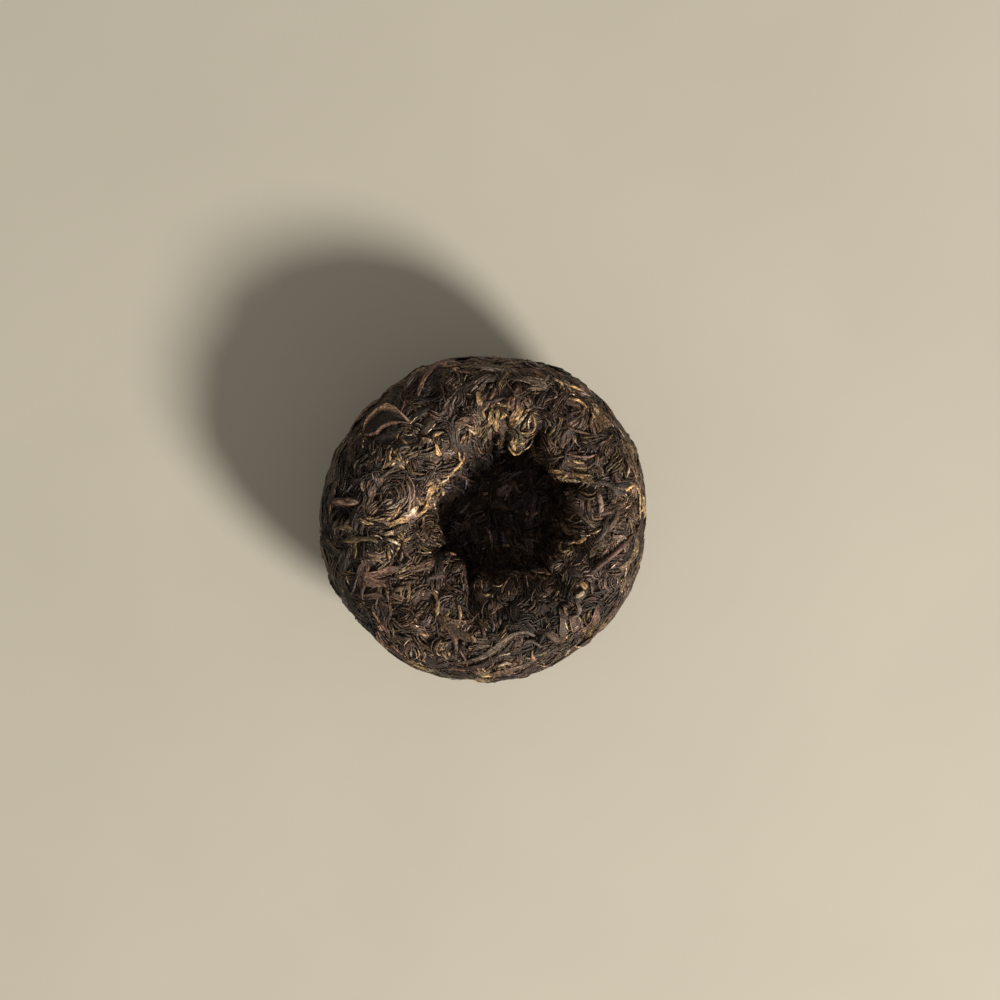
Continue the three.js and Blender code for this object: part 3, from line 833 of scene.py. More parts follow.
MARKED_LEAVES = (
    # the golden band along the left lip of the hollow, from its upper end down
    strand("golden", 0.9, (-6, 17.4), (-5.7, 14.4), (-7.2, 11.9), (-10.6, 10.4), raised=0.7, tip=0.4),
    strand("cream", 0.7, (-8.1, 11.1), (-9.8, 10.4), (-11.6, 9), raised=0.9),
    broad("golden", 1.8, (-11.4, 9.4), (-13.6, 7), (-14.2, 4), raised=0.5, rim=0.6, cup=0.3),
    strand("golden", 1.3, (-13.7, 5.4), (-14.5, 2.6), (-17, 0.7), raised=0.7, tip=0.6),
    broad("cream", 1.5, (-15.8, 3.6), (-18, 1.8), (-20.6, 0.5), raised=0.7, cup=-0.3),
    broad("golden", 1.5, (-17.6, 0.6), (-20.4, -0.2), (-23, -1.2), raised=0.6, tip=0.5, cup=0.3),
    broad("brown", 1.5, (-24.2, -3.5), (-21.4, -2.9), (-17.6, -1), raised=0.6),
    broad("cream", 1.1, (-24.6, -3.6), (-23, -3.4), (-21.2, -2.8), raised=1),
    strand("cream", 0.9, (-24.4, -4.6), (-22.2, -5.1), (-19.8, -6.5), raised=0.7),
    # arcs round the eddy left of them
    strand("rosy", 0.55, (-20.2, 12.8), (-17.4, 9.9), (-16.7, 7.4), (-17.6, 4.6), (-20.8, 1.2), raised=0.5),
    strand("grey", 0.5, (-21.2, 12.2), (-18.4, 9.6), (-17.8, 7), (-19, 4), (-21.8, 1.4), raised=0.4),
    strand("rosy", 0.5, (-22, 10.6), (-19.6, 8.6), (-19, 6.2), (-20.4, 3.4), raised=0.4),
    strand("grey", 0.5, (-22.8, 9), (-20.8, 7.4), (-20.4, 5.6), (-21.6, 4), raised=0.4),
    strand("cream", 0.8, (-23.2, 13.2), (-21.9, 13.7), (-21, 15), raised=0.7),
    broad("olive", 2, (-22.6, 15), (-20.4, 14.6), (-19, 12.6), raised=0.4, rim=0.4),
    strand("grey", 0.9, (-20.6, 16.2), (-20, 17.8), (-17.6, 17.8), raised=0.8, tip=0.5),
    broad("olive", 1.5, (-15.2, 19), (-14, 19.8), (-12.4, 19.4), raised=0.7, tip=0.8, cup=0.4),
    broad("golden", 1.1, (-11.5, 19), (-11.4, 17.4), (-10.4, 15.6), raised=0.8, cup=0.4),
    strand("grey", 0.8, (-29, 10.4), (-29.6, 8.4), (-29.2, 6.6), raised=0.5),
    # reddish lenses, and the smooth brown leaf over the pit on the left
    broad("reddish", 2, (-30.8, -13), (-26, -13.4), (-19, -11.4), raised=0.5, rim=0.7, cup=0.3),
    broad("reddish", 2.2, (-30, -13.8), (-26.6, -15.6), (-22, -15.6), raised=0.6, rim=0.6, cup=0.3),
    strand("reddish", 2.2, (-37, 4.4), (-34.2, 4.8), (-30.2, 4.2), raised=0.8, tip=0.25, twist=0),
    strand("olive", 1.6, (-37.6, -2.6), (-34, -1.6), (-30.2, -2.8), raised=0.2),
    strand("olive", 1.6, (-36, -5.2), (-31.6, -4.8), (-27, -4.4), (-25, -6.2), raised=0.3),
    # upright golden leaves above the hollow, with dark gaps between them
    broad("golden", 1.3, (-1, 31.8), (-0.9, 29.6), (-0.4, 27.6), raised=0.8, tip=0.4, cup=0.4),
    broad("golden", 1.3, (2.5, 27.6), (1.9, 25), (0.5, 22.9), raised=0.8, tip=0.7, cup=0.4, roll=0.4),
    broad("golden", 1.5, (3, 25.4), (3.8, 23.4), (3.6, 21.6), raised=0.7, tip=0.4, cup=-0.4, roll=-0.5),
    broad("golden", 2.4, (9.6, 28.4), (7.9, 25.6), (7.2, 22.4), raised=0.6, rim=0.6, cup=0.3, roll=0.3),
    strand("cream", 0.8, (11.2, 26.4), (8.8, 24.4), (7.6, 22.4), raised=1.1),
    strand("golden", 0.5, (8, 22.4), (9.6, 21.3), (12.2, 21.7), (13.2, 23.8), (12.6, 26), (11, 26.4),
        raised=1, arch=0, twist=0),
    strand("cream", 0.7, (-4.3, 22.8), (-3, 22.3), (-1.8, 21.2), raised=0.8),
    strand("golden", 1, (6.4, 19), (7.2, 17.6), (8.6, 16.8), (9.8, 17.6), raised=0.7, tip=0.5),
    strand("cream", 0.5, (9.6, 17.2), (10.8, 18.4), (12.6, 21), raised=0.5),
    strand("grey", 0.7, (1.7, 18.1), (4.6, 17.6), (6.8, 18.7), raised=0.6, tip=0.6),
    strand("grey", 0.6, (12.2, 15.8), (16.8, 15.2), (21.2, 15.8), raised=0.5, tip=0.6),
    strand("rosy", 0.7, (16.6, 31.2), (17.9, 31.4), (18.2, 30), (17, 29.5), raised=0.9, arch=0.1),
    # the golden ledge right of the hollow's upper edge
    broad("golden", 1.1, (17, 13.2), (18.6, 12.2), (20.6, 12.6), raised=0.7, tip=0.6, cup=0.4),
    broad("golden", 1.3, (21, 12.6), (24, 11.2), (26.8, 10.8), raised=0.7, tip=0.5, cup=0.5, roll=0.5),
    strand("cream", 1, (19.4, 10.6), (22.4, 10.4), (25.4, 9.6), raised=0.6),
    strand("olive", 1.2, (28.2, 16.2), (27.6, 14.2), (28.2, 12.8), raised=0.5, tip=0.5),
    # the right: rolled leaves in an arch, and pale edges at the rim of the nest
    strand("grey", 1.4, (25.6, 8.6), (29, 9.4), (32.2, 8), (33.4, 4.6), raised=0.6),
    strand("brown", 1.3, (26.2, 6), (26, 2.6), (27.4, -0.6), raised=0.5),
    strand("rosy", 1.4, (28.2, 7.2), (29.2, 3.6), (28.6, 0.2), raised=0.6),
    strand("brown", 1.6, (33.2, 3.8), (32.4, -0.4), (29.6, -3.4), raised=0.6),
    strand("grey", 1.4, (30.8, 1.2), (30, -3.2), (27, -6), raised=0.5),
    strand("cream", 0.6, (34.8, 15.6), (35.8, 12.6), (35, 9.6), raised=0.4),
    strand("cream", 0.8, (37.4, 9.6), (38.6, 6), (38.2, 2.6), (39.2, -0.6), raised=0.3),
    strand("golden", 0.8, (19.8, 30), (23.2, 29.2), (26.4, 26.8), raised=0.4),
    strand("golden", 1, (26, -4), (23.4, -5.8), (20.6, -6.4), raised=0.5, tip=0.5),
    # the long reddish stem on the lower right, and the flat pale leaf beyond it
    strand("reddish", 1.5, (24, -15.4), (28.6, -11.6), (32.8, -7.6), (37.6, -2.8), raised=0.8, twist=0),
    broad("olive", 2.2, (37.2, -2.6), (37.9, -7), (35.9, -10.2), (33.2, -12.8), raised=0.3, rim=0.5),
    broad("golden", 1.5, (23.4, -15.2), (25.6, -16.9), raised=0.8, tip=0.4),
    strand("cream", 1.1, (25, -17.4), (22.6, -19), raised=0.7),
    broad("rosy", 1.8, (11.8, -12.6), (13.8, -13.6), (16.2, -12.6), raised=0.5, cup=0.3),
    strand("golden", 1, (15.6, -12.2), (17.2, -13.6), raised=0.7, tip=0.4),
    # the grey crescent, and the flat leaves by it
    strand("grey", 1.2, (22.4, -19.2), (24, -21.2), (23, -23.4), (20.7, -24), raised=0.8, tip=0.4),
    broad("brown", 1.6, (19, -20.6), (19.6, -26), (19.2, -31.8), raised=0.3, rim=0.3),
    broad("reddish", 2.2, (28.4, -20.4), (27.4, -24.8), (25.6, -27.8), raised=0.2, rim=0.4),
    broad("brown", 1.6, (21.6, -32.6), (25.4, -30.2), (29.6, -26.4), raised=0.2),
    strand("cream", 0.7, (22.4, -31.4), (24.8, -30.6), raised=0.4),
    # the lower edge: long smooth leaves, yellow and orange tips
    broad("grey", 1.5, (-8.4, -35.6), (-3, -34.9), (2, -33), (5.2, -29.8), (7.6, -26.9), (10.4, -26),
        (14.2, -29.8), raised=0.5, cup=-0.4, roll=0.3),
    broad("dark", 1.3, (-7.4, -36.8), (-2, -36.4), (3, -34.4), (6.6, -31.2), (8.6, -28.6), raised=0.4,
        cup=-0.3),
    strand("grey", 1, (9.4, -31.6), (10.6, -29.2), (13.2, -30.2), (14.8, -31.6), raised=0.5, tip=0.3),
    broad("brown", 2, (-3, -39.4), (6, -37), (14, -34.6), raised=0.2),
    strand("cream", 0.9, (3, -36.2), (5.6, -34.6), (7.4, -35.6), raised=0.6),
    strand("golden", 0.8, (-1.4, -38.4), (1.2, -38), (3, -38.6), raised=0.3, tip=0.4),
    strand("reddish", 0.8, (-3.6, -36.9), (-1, -37.2), (0.6, -38.2), raised=0.4),
    broad("olive", 1.7, (-20.2, -34), (-17.4, -34.8), (-15.4, -35.8), raised=0.2, tip=0.5),
    strand("reddish", 1.5, (-9.6, -25.4), (-6.6, -29.4), (-6.4, -33), raised=0.4),
    strand("golden", 1.2, (-12.6, -16.6), (-10.6, -20.6), (-11.6, -24.6), raised=0.3, tip=0.4),
    # the top: smooth dark leaves round the shoulder, with a reddish strand down from them
    strand("reddish", 1.4, (-11.2, 38.2), (-14.4, 34.6), (-16.4, 29.6), raised=0.4),
    broad("grey", 2.4, (-6, 38.6), (1, 37.4), (8, 36.6), (14.6, 34.6), raised=0),
    broad("grey", 2.4, (6, 35.2), (12.4, 33.6), (17, 31.8), raised=0.4, rim=0.4),
    broad("dark", 2.2, (-3.4, 34.4), (1, 34.8), (5.4, 34.4), raised=0.3),
    broad("brown", 2.4, (-27.6, 33), (-31, 27.4), (-34, 21), raised=0),
    # pale scraps deep in the hollow
    broad("rosy", 1.4, (6.2, 9.8), (8.2, 9), (8.6, 7.2), (10.4, 6.6), raised=1, in_hollow=True),
    strand("cream", 0.9, (-0.6, 6.6), (1.6, 6.4), raised=0.8, in_hollow=True),
    strand("cream", 1, (5.2, -7.4), (7.2, -7.2), raised=0.8, in_hollow=True),
    strand("cream", 0.9, (11.4, 2.4), (12, 0.8), raised=0.8, in_hollow=True),
    strand("brown", 0.6, (-7.2, 12.6), (-3.4, 9.6), (-1, 9.2), raised=0.8, in_hollow=True),
)


def marked_path(leaf):
    """A marked leaf's path: its plan drawn smoothly, each point set on the skin from straight above."""
    skin = nest_skin()
    plan = np.array(leaf.plan)
    reach = np.concatenate([[0.0], np.cumsum(np.linalg.norm(np.diff(plan, axis=0), axis=1))])
    stops = np.linspace(0, reach[-1], PATH_ROWS)
    drawn = np.stack([np.interp(stops, reach, plan[:, axis]) for axis in (0, 1)], axis=1)
    for _ in range(4):
        drawn[1:-1] = 0.5 * drawn[1:-1] + 0.25 * (drawn[:-2] + drawn[2:])
    if not leaf.in_hollow:
        drawn = np.array([off_hollow(x, y, clear=0.2) for x, y in drawn])
    places = np.array([skin.below(x, y) for x, y in drawn])
    return places, skin.nearest(places)[1], reach[-1]


def marked_leaves(draw, form, template, look):
    """All the marked leaves of one form."""
    chosen = [leaf for leaf in MARKED_LEAVES if leaf.form == form]
    paths = [marked_path(leaf) for leaf in chosen]
    count = len(chosen)
    shapes = {
        name: np.array([[getattr(leaf, name)] for leaf in chosen], float)
        for name in ("width", "roll", "twist", "cup", "arch", "tip", "rim", "raised")
    }
    lift = shapes.pop("raised") - 0.1
    pick = draw.random((count, 1))
    colour = np.array([getattr(look, leaf.colours + "_colour") for leaf in chosen])
    other = np.array([getattr(look, leaf.colours + "_other_colour") for leaf in chosen])
    is_broad = form == "broad"
    points, normals = np.array([path[0] for path in paths]), np.array([path[1] for path in paths])
    # painted light: marked leaves under the lighter marks are brightened, as if lit
    lit = np.exp(0.6 * tone_and_painted_shade_at(points[:, PATH_ROWS // 2]).clip(0, 0.8))[:, None]
    leaf = SimpleNamespace(
        length=np.array([[path[2]] for path in paths]),
        thickness=shapes["width"] * (0.22 if is_broad else 0.6),
        phase=draw.random((count, 1)),
        ragged=0.05,
        creases=between(draw, (0.9, 1.4), count),
        crease_depth=0.2 if is_broad else 0.08,
        crease_shade=0.45,
        crumple=0.05,
        blotches=0.25,
        lift=lift,
        tuck=0.7,
        level=0.05,
        **shapes,
        colour=(colour * (1 - pick) + other * pick) * lit,
        tip_colour=np.array(look.cream_colour) * lit,
    )
    return bent_leaves(template, points, normals, leaf, draw)


def put_in_order(parts, places):
    """Sorts points or faces by place, because solidify's own order changes from run to run."""
    parts.index_update()
    rank = np.argsort(np.lexsort(np.round(places, 5).T)).tolist()
    parts.sort(key=lambda part: rank[part.index])


def boat_leaf_bmesh():
    """The open leaf in mm: a grid drawn to the leaf's outline, its edges rolled up into a rim."""
    skin = nest_skin()
    start, end = np.array(BOAT_START), np.array(BOAT_END)
    along = (end - start) / np.linalg.norm(end - start)
    across = np.array([-along[1], along[0]])
    bm = bmesh.new()
    bmesh.ops.create_grid(bm, **BOAT_GRID, size=1)
    shades = bm.verts.layers.float.new("rim_share")
    sides = bm.verts.layers.float.new("far_share")
    grid = [(vertex.co.x, vertex.co.y) for vertex in bm.verts]
    for vertex, (u, v) in zip(bm.verts, grid):
        far = 0.08 + float(np.interp(u, *zip(*BOAT_FAR_EDGE)))
        near = -0.08 + float(np.interp(u, *zip(*BOAT_NEAR_EDGE)))
        sideways = near + (far - near) * (v + 1) / 2
        x, y = (start + end) / 2 + along * u * np.linalg.norm(end - start) / 2 + across * sideways
        ends = (1 - abs(u) ** 3) ** 0.5
        rim = float(smooth(abs(v), 0.6 - 0.5 * smooth(u, -0.05, 0.3) if v > 0 else 0.62, 0.8))
        fall = float(smooth(abs(v), 0.86, 1.0))
        veins = 0.09 * math.sin(9 * v + 2.2 * u) * (1 - rim) + 0.1 * math.sin(5.3 * u + 1.0) * (1 - rim)
        height = BOAT_FLOOR + ends * (BOAT_WALL * (rim - 0.9 * fall) + veins) - 0.8 * (1 - ends)
        place, normal = skin.nearest(np.array([skin.below(x, y)]))
        vertex[shades] = rim
        vertex[sides] = float(v > 0)
        vertex.co = place[0] + normal[0] * height
    bmesh.ops.recalc_face_normals(bm, faces=bm.faces)
    bmesh.ops.solidify(bm, geom=bm.faces[:], thickness=BOAT_THICKNESS)
    bmesh.ops.recalc_face_normals(bm, faces=bm.faces)
    bmesh.ops.smooth_vert(bm, verts=bm.verts, factor=0.3, use_axis_x=True, use_axis_y=True, use_axis_z=True)
    put_in_order(bm.verts, [vertex.co for vertex in bm.verts])
    put_in_order(bm.faces, [face.calc_center_median() for face in bm.faces])
    return bm


# ---------------------------------------------------------------------------------------------
# Materials


class Shading:
    """A new material with only its output and a shader, and what is added to feed them."""

    def __init__(self, name):
        self.material = bpy.data.materials.new(name)
        self.material.use_nodes = True
        self.material.node_tree.nodes.clear()
        self.shader = self.add("ShaderNodeBsdfPrincipled")
        self.add("ShaderNodeOutputMaterial", surface=self.shader.outputs["BSDF"])

    def add(self, kind, *values, operation=None, **named_values):
        """A new node. Its inputs are fed in order by the values, and by name by the named ones."""
        node = self.material.node_tree.nodes.new(kind)
        if operation:
            node.operation = operation
        for socket, value in zip(node.inputs, values):
            self.feed(socket, value)
        for name, value in named_values.items():
            self.feed(node.inputs[name.replace("_", " ").title()], value)
        return node

    def feed(self, socket, value):
        """Gives an input its value, or links it to an output."""
        if isinstance(value, bpy.types.NodeSocket):
            self.material.node_tree.links.new(value, socket)
        else:
            socket.default_value = value

    def attribute(self, name):
        """A node that reads one of the mesh's own attributes."""
        node = self.add("ShaderNodeAttribute")
        node.attribute_name = name
        return node

    def stretched_noise(self, vector, scale, detail, roughness=0.6):
        """Noise drawn out along a leaf."""
        stretch = self.add("ShaderNodeMapping", vector=vector, scale=scale).outputs["Vector"]
        noise = self.add("ShaderNodeTexNoise", vector=stretch, scale=1.0, detail=detail, roughness=roughness)
        return noise.outputs["Fac"]

    def ranged(self, value, low, high, start=0.34, end=0.66):
        """A value from start to end brought to low to high."""
        ends = {"from_min": start, "from_max": end, "to_min": low, "to_max": high}
        return self.add("ShaderNodeMapRange", value=value, **ends).outputs["Result"]


def leaf_finish(name, roughness, streaks=0.55, wrinkles=0.8, wrinkle_depth=0.3, across=1.5, sheen=0.0):
    """Dry leaf: its own colour streaked along its length and speckled with painted glints, fine wrinkles and
    a dull, uneven gloss.
    """
    made = Shading(name)
    grain = made.attribute("leaf_grain").outputs["Vector"]
    streak = made.stretched_noise(grain, (across, across, 0.25), 3.0)
    speck = made.stretched_noise(grain, (3.0, 3.0, 1.7), 2.0, 0.7)
    # painted glints: the speckle squared, darker in its lows and up to twice as bright at its peaks
    speckle_and_painted_glints = made.add("ShaderNodeMath", made.ranged(speck, 0.45, 1.5), 2.0, operation="POWER")
    streaked = made.ranged(streak, 1 - streaks, 1 + streaks)
    shade = made.add("ShaderNodeMath", streaked, speckle_and_painted_glints.outputs["Value"], operation="MULTIPLY")
    colour = made.attribute("leaf_colour").outputs["Color"]
    shaded = made.add("ShaderNodeVectorMath", operation="SCALE", vector=colour, scale=shade.outputs["Value"])
    made.feed(made.shader.inputs["Base Color"], shaded.outputs["Vector"])

    gloss = made.stretched_noise(grain, (0.8, 0.8, 0.8), 2.0)
    made.feed(made.shader.inputs["Roughness"], made.ranged(gloss, roughness - 0.12, roughness + 0.16))

    wrinkle = made.stretched_noise(grain, (1.7 * across, 1.7 * across, 0.9), 4.0, 0.7)
    bump = made.add("ShaderNodeBump", strength=wrinkles, distance=wrinkle_depth * MM, height=wrinkle)
    made.feed(made.shader.inputs["Normal"], bump.outputs["Normal"])
    if sheen:
        made.shader.inputs["Sheen Weight"].default_value = sheen
        made.shader.inputs["Sheen Roughness"].default_value = 0.5
    return made.material


def surface_finish(name, colour):
    """The stage's pale matt surface, with the faintest mottle."""
    made = Shading(name)
    place = made.add("ShaderNodeTexCoord").outputs["Object"]
    mottle = made.add("ShaderNodeTexNoise", vector=place, scale=14.0, detail=3.0)
    ramp = made.add("ShaderNodeValToRGB", fac=mottle.outputs["Fac"])
    ramp.color_ramp.elements[0].position = 0.3
    ramp.color_ramp.elements[0].color = (*[0.95 * part for part in colour], 1)
    ramp.color_ramp.elements[1].position = 0.7
    ramp.color_ramp.elements[1].color = (*colour, 1)
    made.feed(made.shader.inputs["Base Color"], ramp.outputs["Color"])
    made.shader.inputs["Roughness"].default_value = 0.85
    return made.material


# ---------------------------------------------------------------------------------------------
# The add-on


def colour_property(name, description, default):
    """A colour that a user would change."""
    return FloatVectorProperty(
        name=name, description=description, default=default, size=3, min=0, max=1, subtype="COLOR"
    )


class TeaNestSettings(bpy.types.PropertyGroup):
    """Sizes, colours and lights of the nest."""

    mass_sink: FloatProperty(
        name="Mass Sink", description="How far under the leaves the mass is", default=0.4 * MM, unit="LENGTH"
    )
    seed: IntProperty(name="Seed", description="Which scatter of leaves is laid", default=41)
    # near black: partly the packed tea's own colour, partly painted shade in the gaps between the leaves
    mass_colour: colour_property("Mass", "Packed tea in the gaps", (0.0085, 0.0042, 0.0024))
    mass_other_colour: colour_property("Mass Lights", "Leaf edges in the gaps", (0.1, 0.059, 0.037))
    dark_colour: colour_property("Dark Leaf", "The darkest leaves", (0.0165, 0.0082, 0.0049))
    dark_other_colour: colour_property("Dark Leaf, Lighter", "Lighter dark leaves", (0.05, 0.028, 0.018))
    brown_colour: colour_property("Brown Leaf", "Brown leaves", (0.062, 0.033, 0.018))
    brown_other_colour: colour_property("Brown Leaf, Lighter", "Lighter brown leaves", (0.138, 0.081, 0.047))
    grey_colour: colour_property("Grey Leaf", "Leaves with a greyish bloom", (0.072, 0.049, 0.036))
    grey_other_colour: colour_property("Grey Leaf, Lighter", "Lighter grey leaves", (0.15, 0.104, 0.073))
    olive_colour: colour_property("Olive Leaf", "Leaves that kept some green", (0.08, 0.049, 0.023))
    olive_other_colour: colour_property("Olive Leaf, Lighter", "Lighter olive leaves", (0.165, 0.108, 0.055))
    golden_colour: colour_property("Golden Bud", "Golden downy buds", (0.27, 0.146, 0.055))
    golden_other_colour: colour_property("Golden Bud, Lighter", "Lighter buds", (0.46, 0.292, 0.134))
    cream_colour: colour_property("Cream Curl", "Thin pale curls", (0.31, 0.208, 0.122))
    cream_other_colour: colour_property("Cream Curl, Lighter", "Lightest thin curls", (0.54, 0.415, 0.272))
    rosy_colour: colour_property("Rosy Leaf", "Pinkish brown leaves", (0.13, 0.076, 0.057))
    rosy_other_colour: colour_property("Rosy Leaf, Lighter", "Lighter rosy leaves", (0.25, 0.162, 0.122))
    reddish_colour: colour_property("Stem", "Reddish stems", (0.088, 0.043, 0.027))
    reddish_other_colour: colour_property("Stem, Lighter", "Lighter stems", (0.175, 0.094, 0.06))
    floor_colour: colour_property("Floor", "The pale surface of the stage", (0.64, 0.59, 0.49))
    key_power: FloatProperty(name="Key Light", description="Power of the main light", default=36.0, min=0)
    fill_strength: FloatProperty(name="Fill", description="Light from all round", default=0.25, min=0)
    camera_distance: FloatProperty(
        name="Camera Distance", description="From the camera to the widest height", default=0.7, unit="LENGTH"
    )
    frame_width: FloatProperty(
        name="Frame Width", description="Width of the picture at that height", default=0.25, unit="LENGTH"
    )


class TEANEST_OT_packed_mass(bpy.types.Operator):
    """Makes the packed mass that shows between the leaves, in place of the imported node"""

    bl_idname = "teanest.packed_mass"
    bl_label = "Packed Mass"

    def execute(self, context):
        look = context.scene.tea_nest
        bm = form_bmesh(**MASS_MESH, sink=look.mass_sink / MM)
        bm.normal_update()
        places, normals = np.array([v.co for v in bm.verts]), np.array([v.normal for v in bm.verts])
        flow, on_top = swirl(places), smooth(places[:, 2], 30, 37)
        ridge = 1 - np.abs(np.sin(3.4 * flow + 1.3 * unevenness(*places.T, 4.0)))
        relief = 0.3 * unevenness(*places.T, 2.6) + 0.45 * (ridge - 0.5) * (0.35 + 0.65 * on_top)
        places += normals * relief[:, None]
        places[:, 2] = np.maximum(places[:, 2], 0.35)
        for vertex, place in zip(bm.verts, places):
            vertex.co = place * MM
        mesh = bpy.data.meshes.new("packed_mass")
        bm.to_mesh(mesh)
        bm.free()
        patch = 0.5 + 0.5 * unevenness(*(places + 15).T, 2.1)
        # lighter along the ridges of the relief and near black in its grooves, partly the tea's own tone and
        # partly painted shade between the leaves
        pale = (0.05 + 0.9 * ridge * (0.3 + 0.7 * patch) + 0.2 * (1 - on_top)).clip(0, 1)[:, None]
        colours = np.array(look.mass_colour) * (1 - pale) + np.array(look.mass_other_colour) * pale
        # random tone, and the marks' painted light and shade
        colours *= np.exp(tone_and_painted_shade_at(places))[:, None]
        x, y, z = places.T
        grain = np.stack([3.5 * flow, 0.2 * (x + z), 0.8 * (y + z)], axis=-1)
        colours = np.concatenate([colours, np.ones_like(pale)], axis=1)
        finish = {"streaks": 0.8, "wrinkles": 0.9, "wrinkle_depth": 0.35, "across": 1.3}
        dressed("packed_mass", mesh, leaf_finish("packed_mass_finish", 0.7, **finish), colours, grain)
        return {"FINISHED"}


class TEANEST_OT_broad_leaves(bpy.types.Operator):
    """Lays the broad crumpled leaves, dark and brown"""

    bl_idname = "teanest.broad_leaves"
    bl_label = "Broad Leaves"

    def execute(self, context):
        lay_kinds("broad_dark_leaves", "broad_brown_leaves", roughness=0.52)
        return {"FINISHED"}


class TEANEST_OT_matted_strands(bpy.types.Operator):
    """Lays the locks of fine strands: dark, brown, grey and olive"""

    bl_idname = "teanest.matted_strands"
    bl_label = "Matted Strands"

    def execute(self, context):
        lay_kinds("matted_dark_strands", "matted_brown_strands", roughness=0.46)
        lay_kinds("matted_grey_strands", "matted_olive_strands", roughness=0.46)
        return {"FINISHED"}


class TEANEST_OT_rolled_leaves(bpy.types.Operator):
    """Lays the rolled leaves: dark, brown, grey and olive"""

    bl_idname = "teanest.rolled_leaves"
    bl_label = "Rolled Leaves"

    def execute(self, context):
        lay_kinds("dark_leaves", "brown_leaves", "grey_leaves", "olive_leaves", roughness=0.46)
        return {"FINISHED"}


class TEANEST_OT_golden_buds(bpy.types.Operator):
    """Lays the golden buds"""

    bl_idname = "teanest.golden_buds"
    bl_label = "Golden Buds"

    def execute(self, context):
        lay_kinds("golden_buds", roughness=0.62, sheen=0.3)
        return {"FINISHED"}


class TEANEST_OT_reddish_stems(bpy.types.Operator):
    """Lays the reddish stems"""

    bl_idname = "teanest.reddish_stems"
    bl_label = "Reddish Stems"

    def execute(self, context):
        lay_kinds("reddish_stems", roughness=0.46)
        return {"FINISHED"}


class TEANEST_OT_thin_curls(bpy.types.Operator):
    """Lays the loose thin curls, pale and dark"""

    bl_idname = "teanest.thin_curls"
    bl_label = "Thin Curls"

    def execute(self, context):
        lay_kinds("pale_curls", "dark_curls", roughness=0.46)
        return {"FINISHED"}


class TEANEST_OT_broken_bits(bpy.types.Operator):
    """Lays the broken bits of leaf"""

    bl_idname = "teanest.broken_bits"
    bl_label = "Broken Bits"

    def execute(self, context):
        lay_kinds("broken_bits", roughness=0.55)
        return {"FINISHED"}


class TEANEST_OT_marked_leaves(bpy.types.Operator):
    """Lays the larger leaves that have their own places"""

    bl_idname = "teanest.marked_leaves"
    bl_label = "Marked Leaves"

    def execute(self, context):
        look = context.scene.tea_nest
        draw = np.random.default_rng(look.seed + MARKED_SEED)
        forms = {"broad": {"sides": 12, "blunt": 0.42}, "strand": {"sides": 8, "ridge": 0.15, "blunt": 0.5}}
        joined = [marked_leaves(draw, form, leaf_template(**shape), look) for form, shape in forms.items()]
        join_and_dress("marked_leaves", joined, leaf_finish("marked_leaves_finish", 0.48, streaks=0.6))
        return {"FINISHED"}


class TEANEST_OT_boat_leaf(bpy.types.Operator):
    """Makes the curled leaf that lies open like a boat"""

    bl_idname = "teanest.boat_leaf"
    bl_label = "Boat Leaf"

    def execute(self, context):
        bm = boat_leaf_bmesh()
        layers = bm.verts.layers.float
        rim = np.array([[v[layers["rim_share"]]] for v in bm.verts])
        far = np.array([[v[layers["far_share"]]] for v in bm.verts])
        places = np.array([v.co for v in bm.verts])
        bmesh.ops.scale(bm, vec=(MM, MM, MM), verts=bm.verts)
        mesh = bpy.data.meshes.new("boat_leaf")
        bm.to_mesh(mesh)
        bm.free()
        rosy, reddish = look_colour("rosy_other"), look_colour("reddish")
        # painted light on the rims, partly their own paler edge, and painted shade inside the boat
        edge = rosy * BOAT_FAR_RIM_EDGE_AND_PAINTED_LIGHT * far + reddish * BOAT_NEAR_RIM_EDGE_AND_PAINTED_LIGHT * (1 - far)
        colours = reddish * BOAT_INSIDE_PAINTED_SHADE * (1 - rim) + edge * rim
        colours = np.concatenate([colours, np.ones_like(rim)], axis=1)
        dressed("boat_leaf", mesh, leaf_finish("boat_leaf_finish", 0.6, streaks=0.3), colours, places)
        return {"FINISHED"}


class TEANEST_OT_stage(bpy.types.Operator):
    """Makes the pale surface, the soft lights and the camera"""

    bl_idname = "teanest.stage"
    bl_label = "Stage"

    def execute(self, context):
        look = context.scene.tea_nest
        bm = bmesh.new()
        bmesh.ops.create_grid(bm, x_segments=8, y_segments=8, size=FLOOR_REACH)
        mesh = bpy.data.meshes.new("pale_floor")
        bm.to_mesh(mesh)
        bm.free()
        mesh.materials.append(surface_finish("pale_floor_finish", look.floor_colour))
        floor = bpy.data.objects.new("pale_floor", mesh)
        context.scene.collection.objects.link(floor)

        area_light(context, "key_light", power=look.key_power, **KEY_LIGHT)
        world = bpy.data.worlds.new("soft_fill")
        world.use_nodes = True
        background = world.node_tree.nodes["Background"]
        background.inputs["Color"].default_value = FILL_COLOUR
        background.inputs["Strength"].default_value = look.fill_strength
        context.scene.world = world
        context.scene.view_settings.view_transform = "Standard"

        camera = bpy.data.cameras.new("camera")
        camera.sensor_width = SENSOR_WIDTH
        camera.lens = SENSOR_WIDTH * look.camera_distance / look.frame_width
        camera.clip_start, camera.clip_end = 0.01, 10.0
        holder = bpy.data.objects.new("camera", camera)
        x, y = CAMERA_OVER
        holder.location = (x * MM, y * MM, look.camera_distance + WIDEST_HEIGHT * MM)
        context.scene.collection.objects.link(holder)
        context.scene.camera = holder
        return {"FINISHED"}


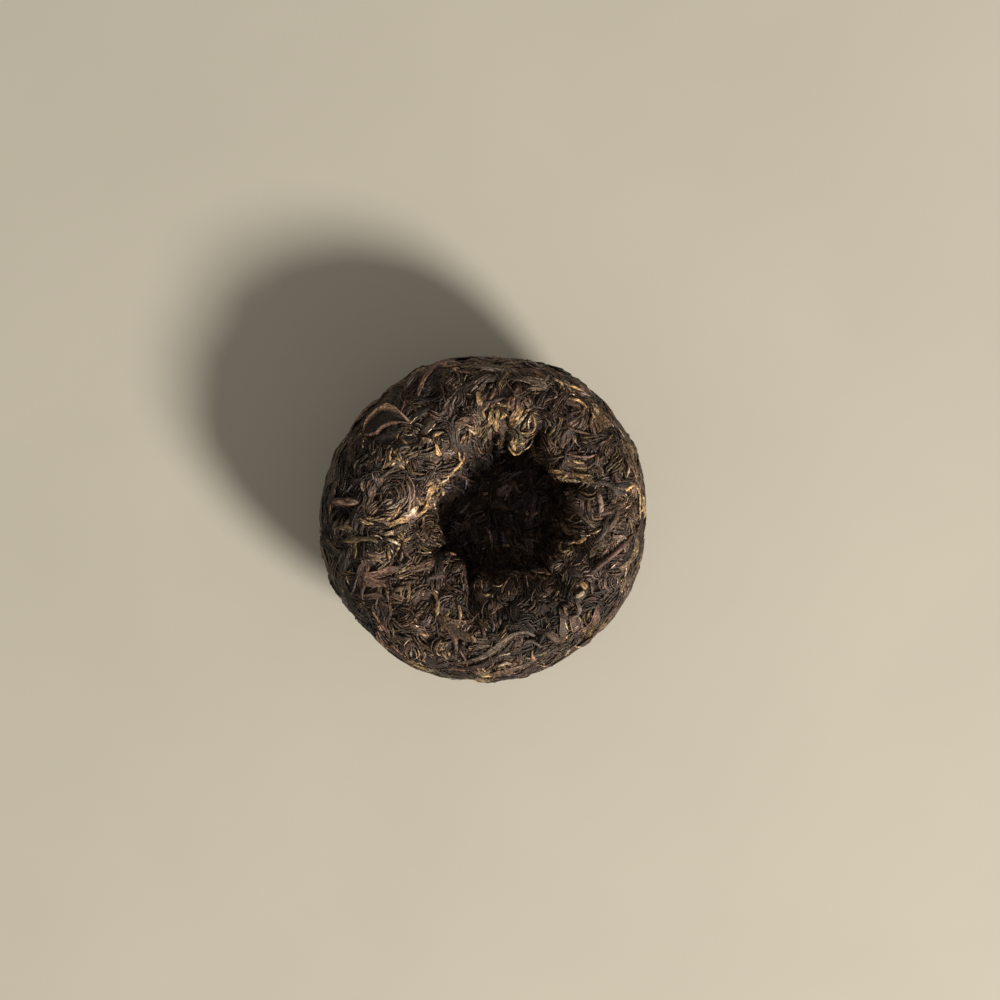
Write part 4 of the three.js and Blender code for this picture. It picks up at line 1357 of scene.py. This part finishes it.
def area_light(context, name, azimuth, elevation, distance, size, power, colour):
    """A soft round light aimed at the nest; azimuth is counted from +X towards +Y."""
    lamp = bpy.data.lights.new(name, "AREA")
    lamp.shape, lamp.size, lamp.energy, lamp.color = "DISK", size, power, colour
    holder = bpy.data.objects.new(name, lamp)
    turn, rise = math.radians(azimuth), math.radians(elevation)
    back = Vector((math.cos(turn) * math.cos(rise), math.sin(turn) * math.cos(rise), math.sin(rise)))
    holder.location = back * distance + Vector((0, 0, HEIGHT * MM / 2))
    holder.rotation_euler = (-back).to_track_quat("-Z", "Y").to_euler()
    context.scene.collection.objects.link(holder)


class TEANEST_PT_panel(bpy.types.Panel):
    """The nest's pieces and settings"""

    bl_idname = "TEANEST_PT_panel"
    bl_label = "Pressed Tea Nest"
    bl_space_type = "VIEW_3D"
    bl_region_type = "UI"
    bl_category = "Tea Nest"

    def draw(self, context):
        for operator in OPERATORS:
            self.layout.operator(operator.bl_idname)
        for name in TeaNestSettings.__annotations__:
            self.layout.prop(context.scene.tea_nest, name)


OPERATORS = (
    TEANEST_OT_packed_mass,
    TEANEST_OT_broad_leaves,
    TEANEST_OT_matted_strands,
    TEANEST_OT_rolled_leaves,
    TEANEST_OT_golden_buds,
    TEANEST_OT_reddish_stems,
    TEANEST_OT_thin_curls,
    TEANEST_OT_broken_bits,
    TEANEST_OT_marked_leaves,
    TEANEST_OT_boat_leaf,
    TEANEST_OT_stage,
)
CLASSES = (TeaNestSettings, *OPERATORS, TEANEST_PT_panel)


def register():
    for item in CLASSES:
        bpy.utils.register_class(item)
    bpy.types.Scene.tea_nest = PointerProperty(type=TeaNestSettings)


def unregister():
    del bpy.types.Scene.tea_nest
    for item in reversed(CLASSES):
        bpy.utils.unregister_class(item)


def main():
    register()
    bpy.ops.teanest.packed_mass()
    bpy.ops.teanest.broad_leaves()
    bpy.ops.teanest.matted_strands()
    bpy.ops.teanest.rolled_leaves()
    bpy.ops.teanest.golden_buds()
    bpy.ops.teanest.reddish_stems()
    bpy.ops.teanest.thin_curls()
    bpy.ops.teanest.broken_bits()
    bpy.ops.teanest.marked_leaves()
    bpy.ops.teanest.boat_leaf()
    bpy.ops.teanest.stage()


if __name__ == "__main__":
    main()
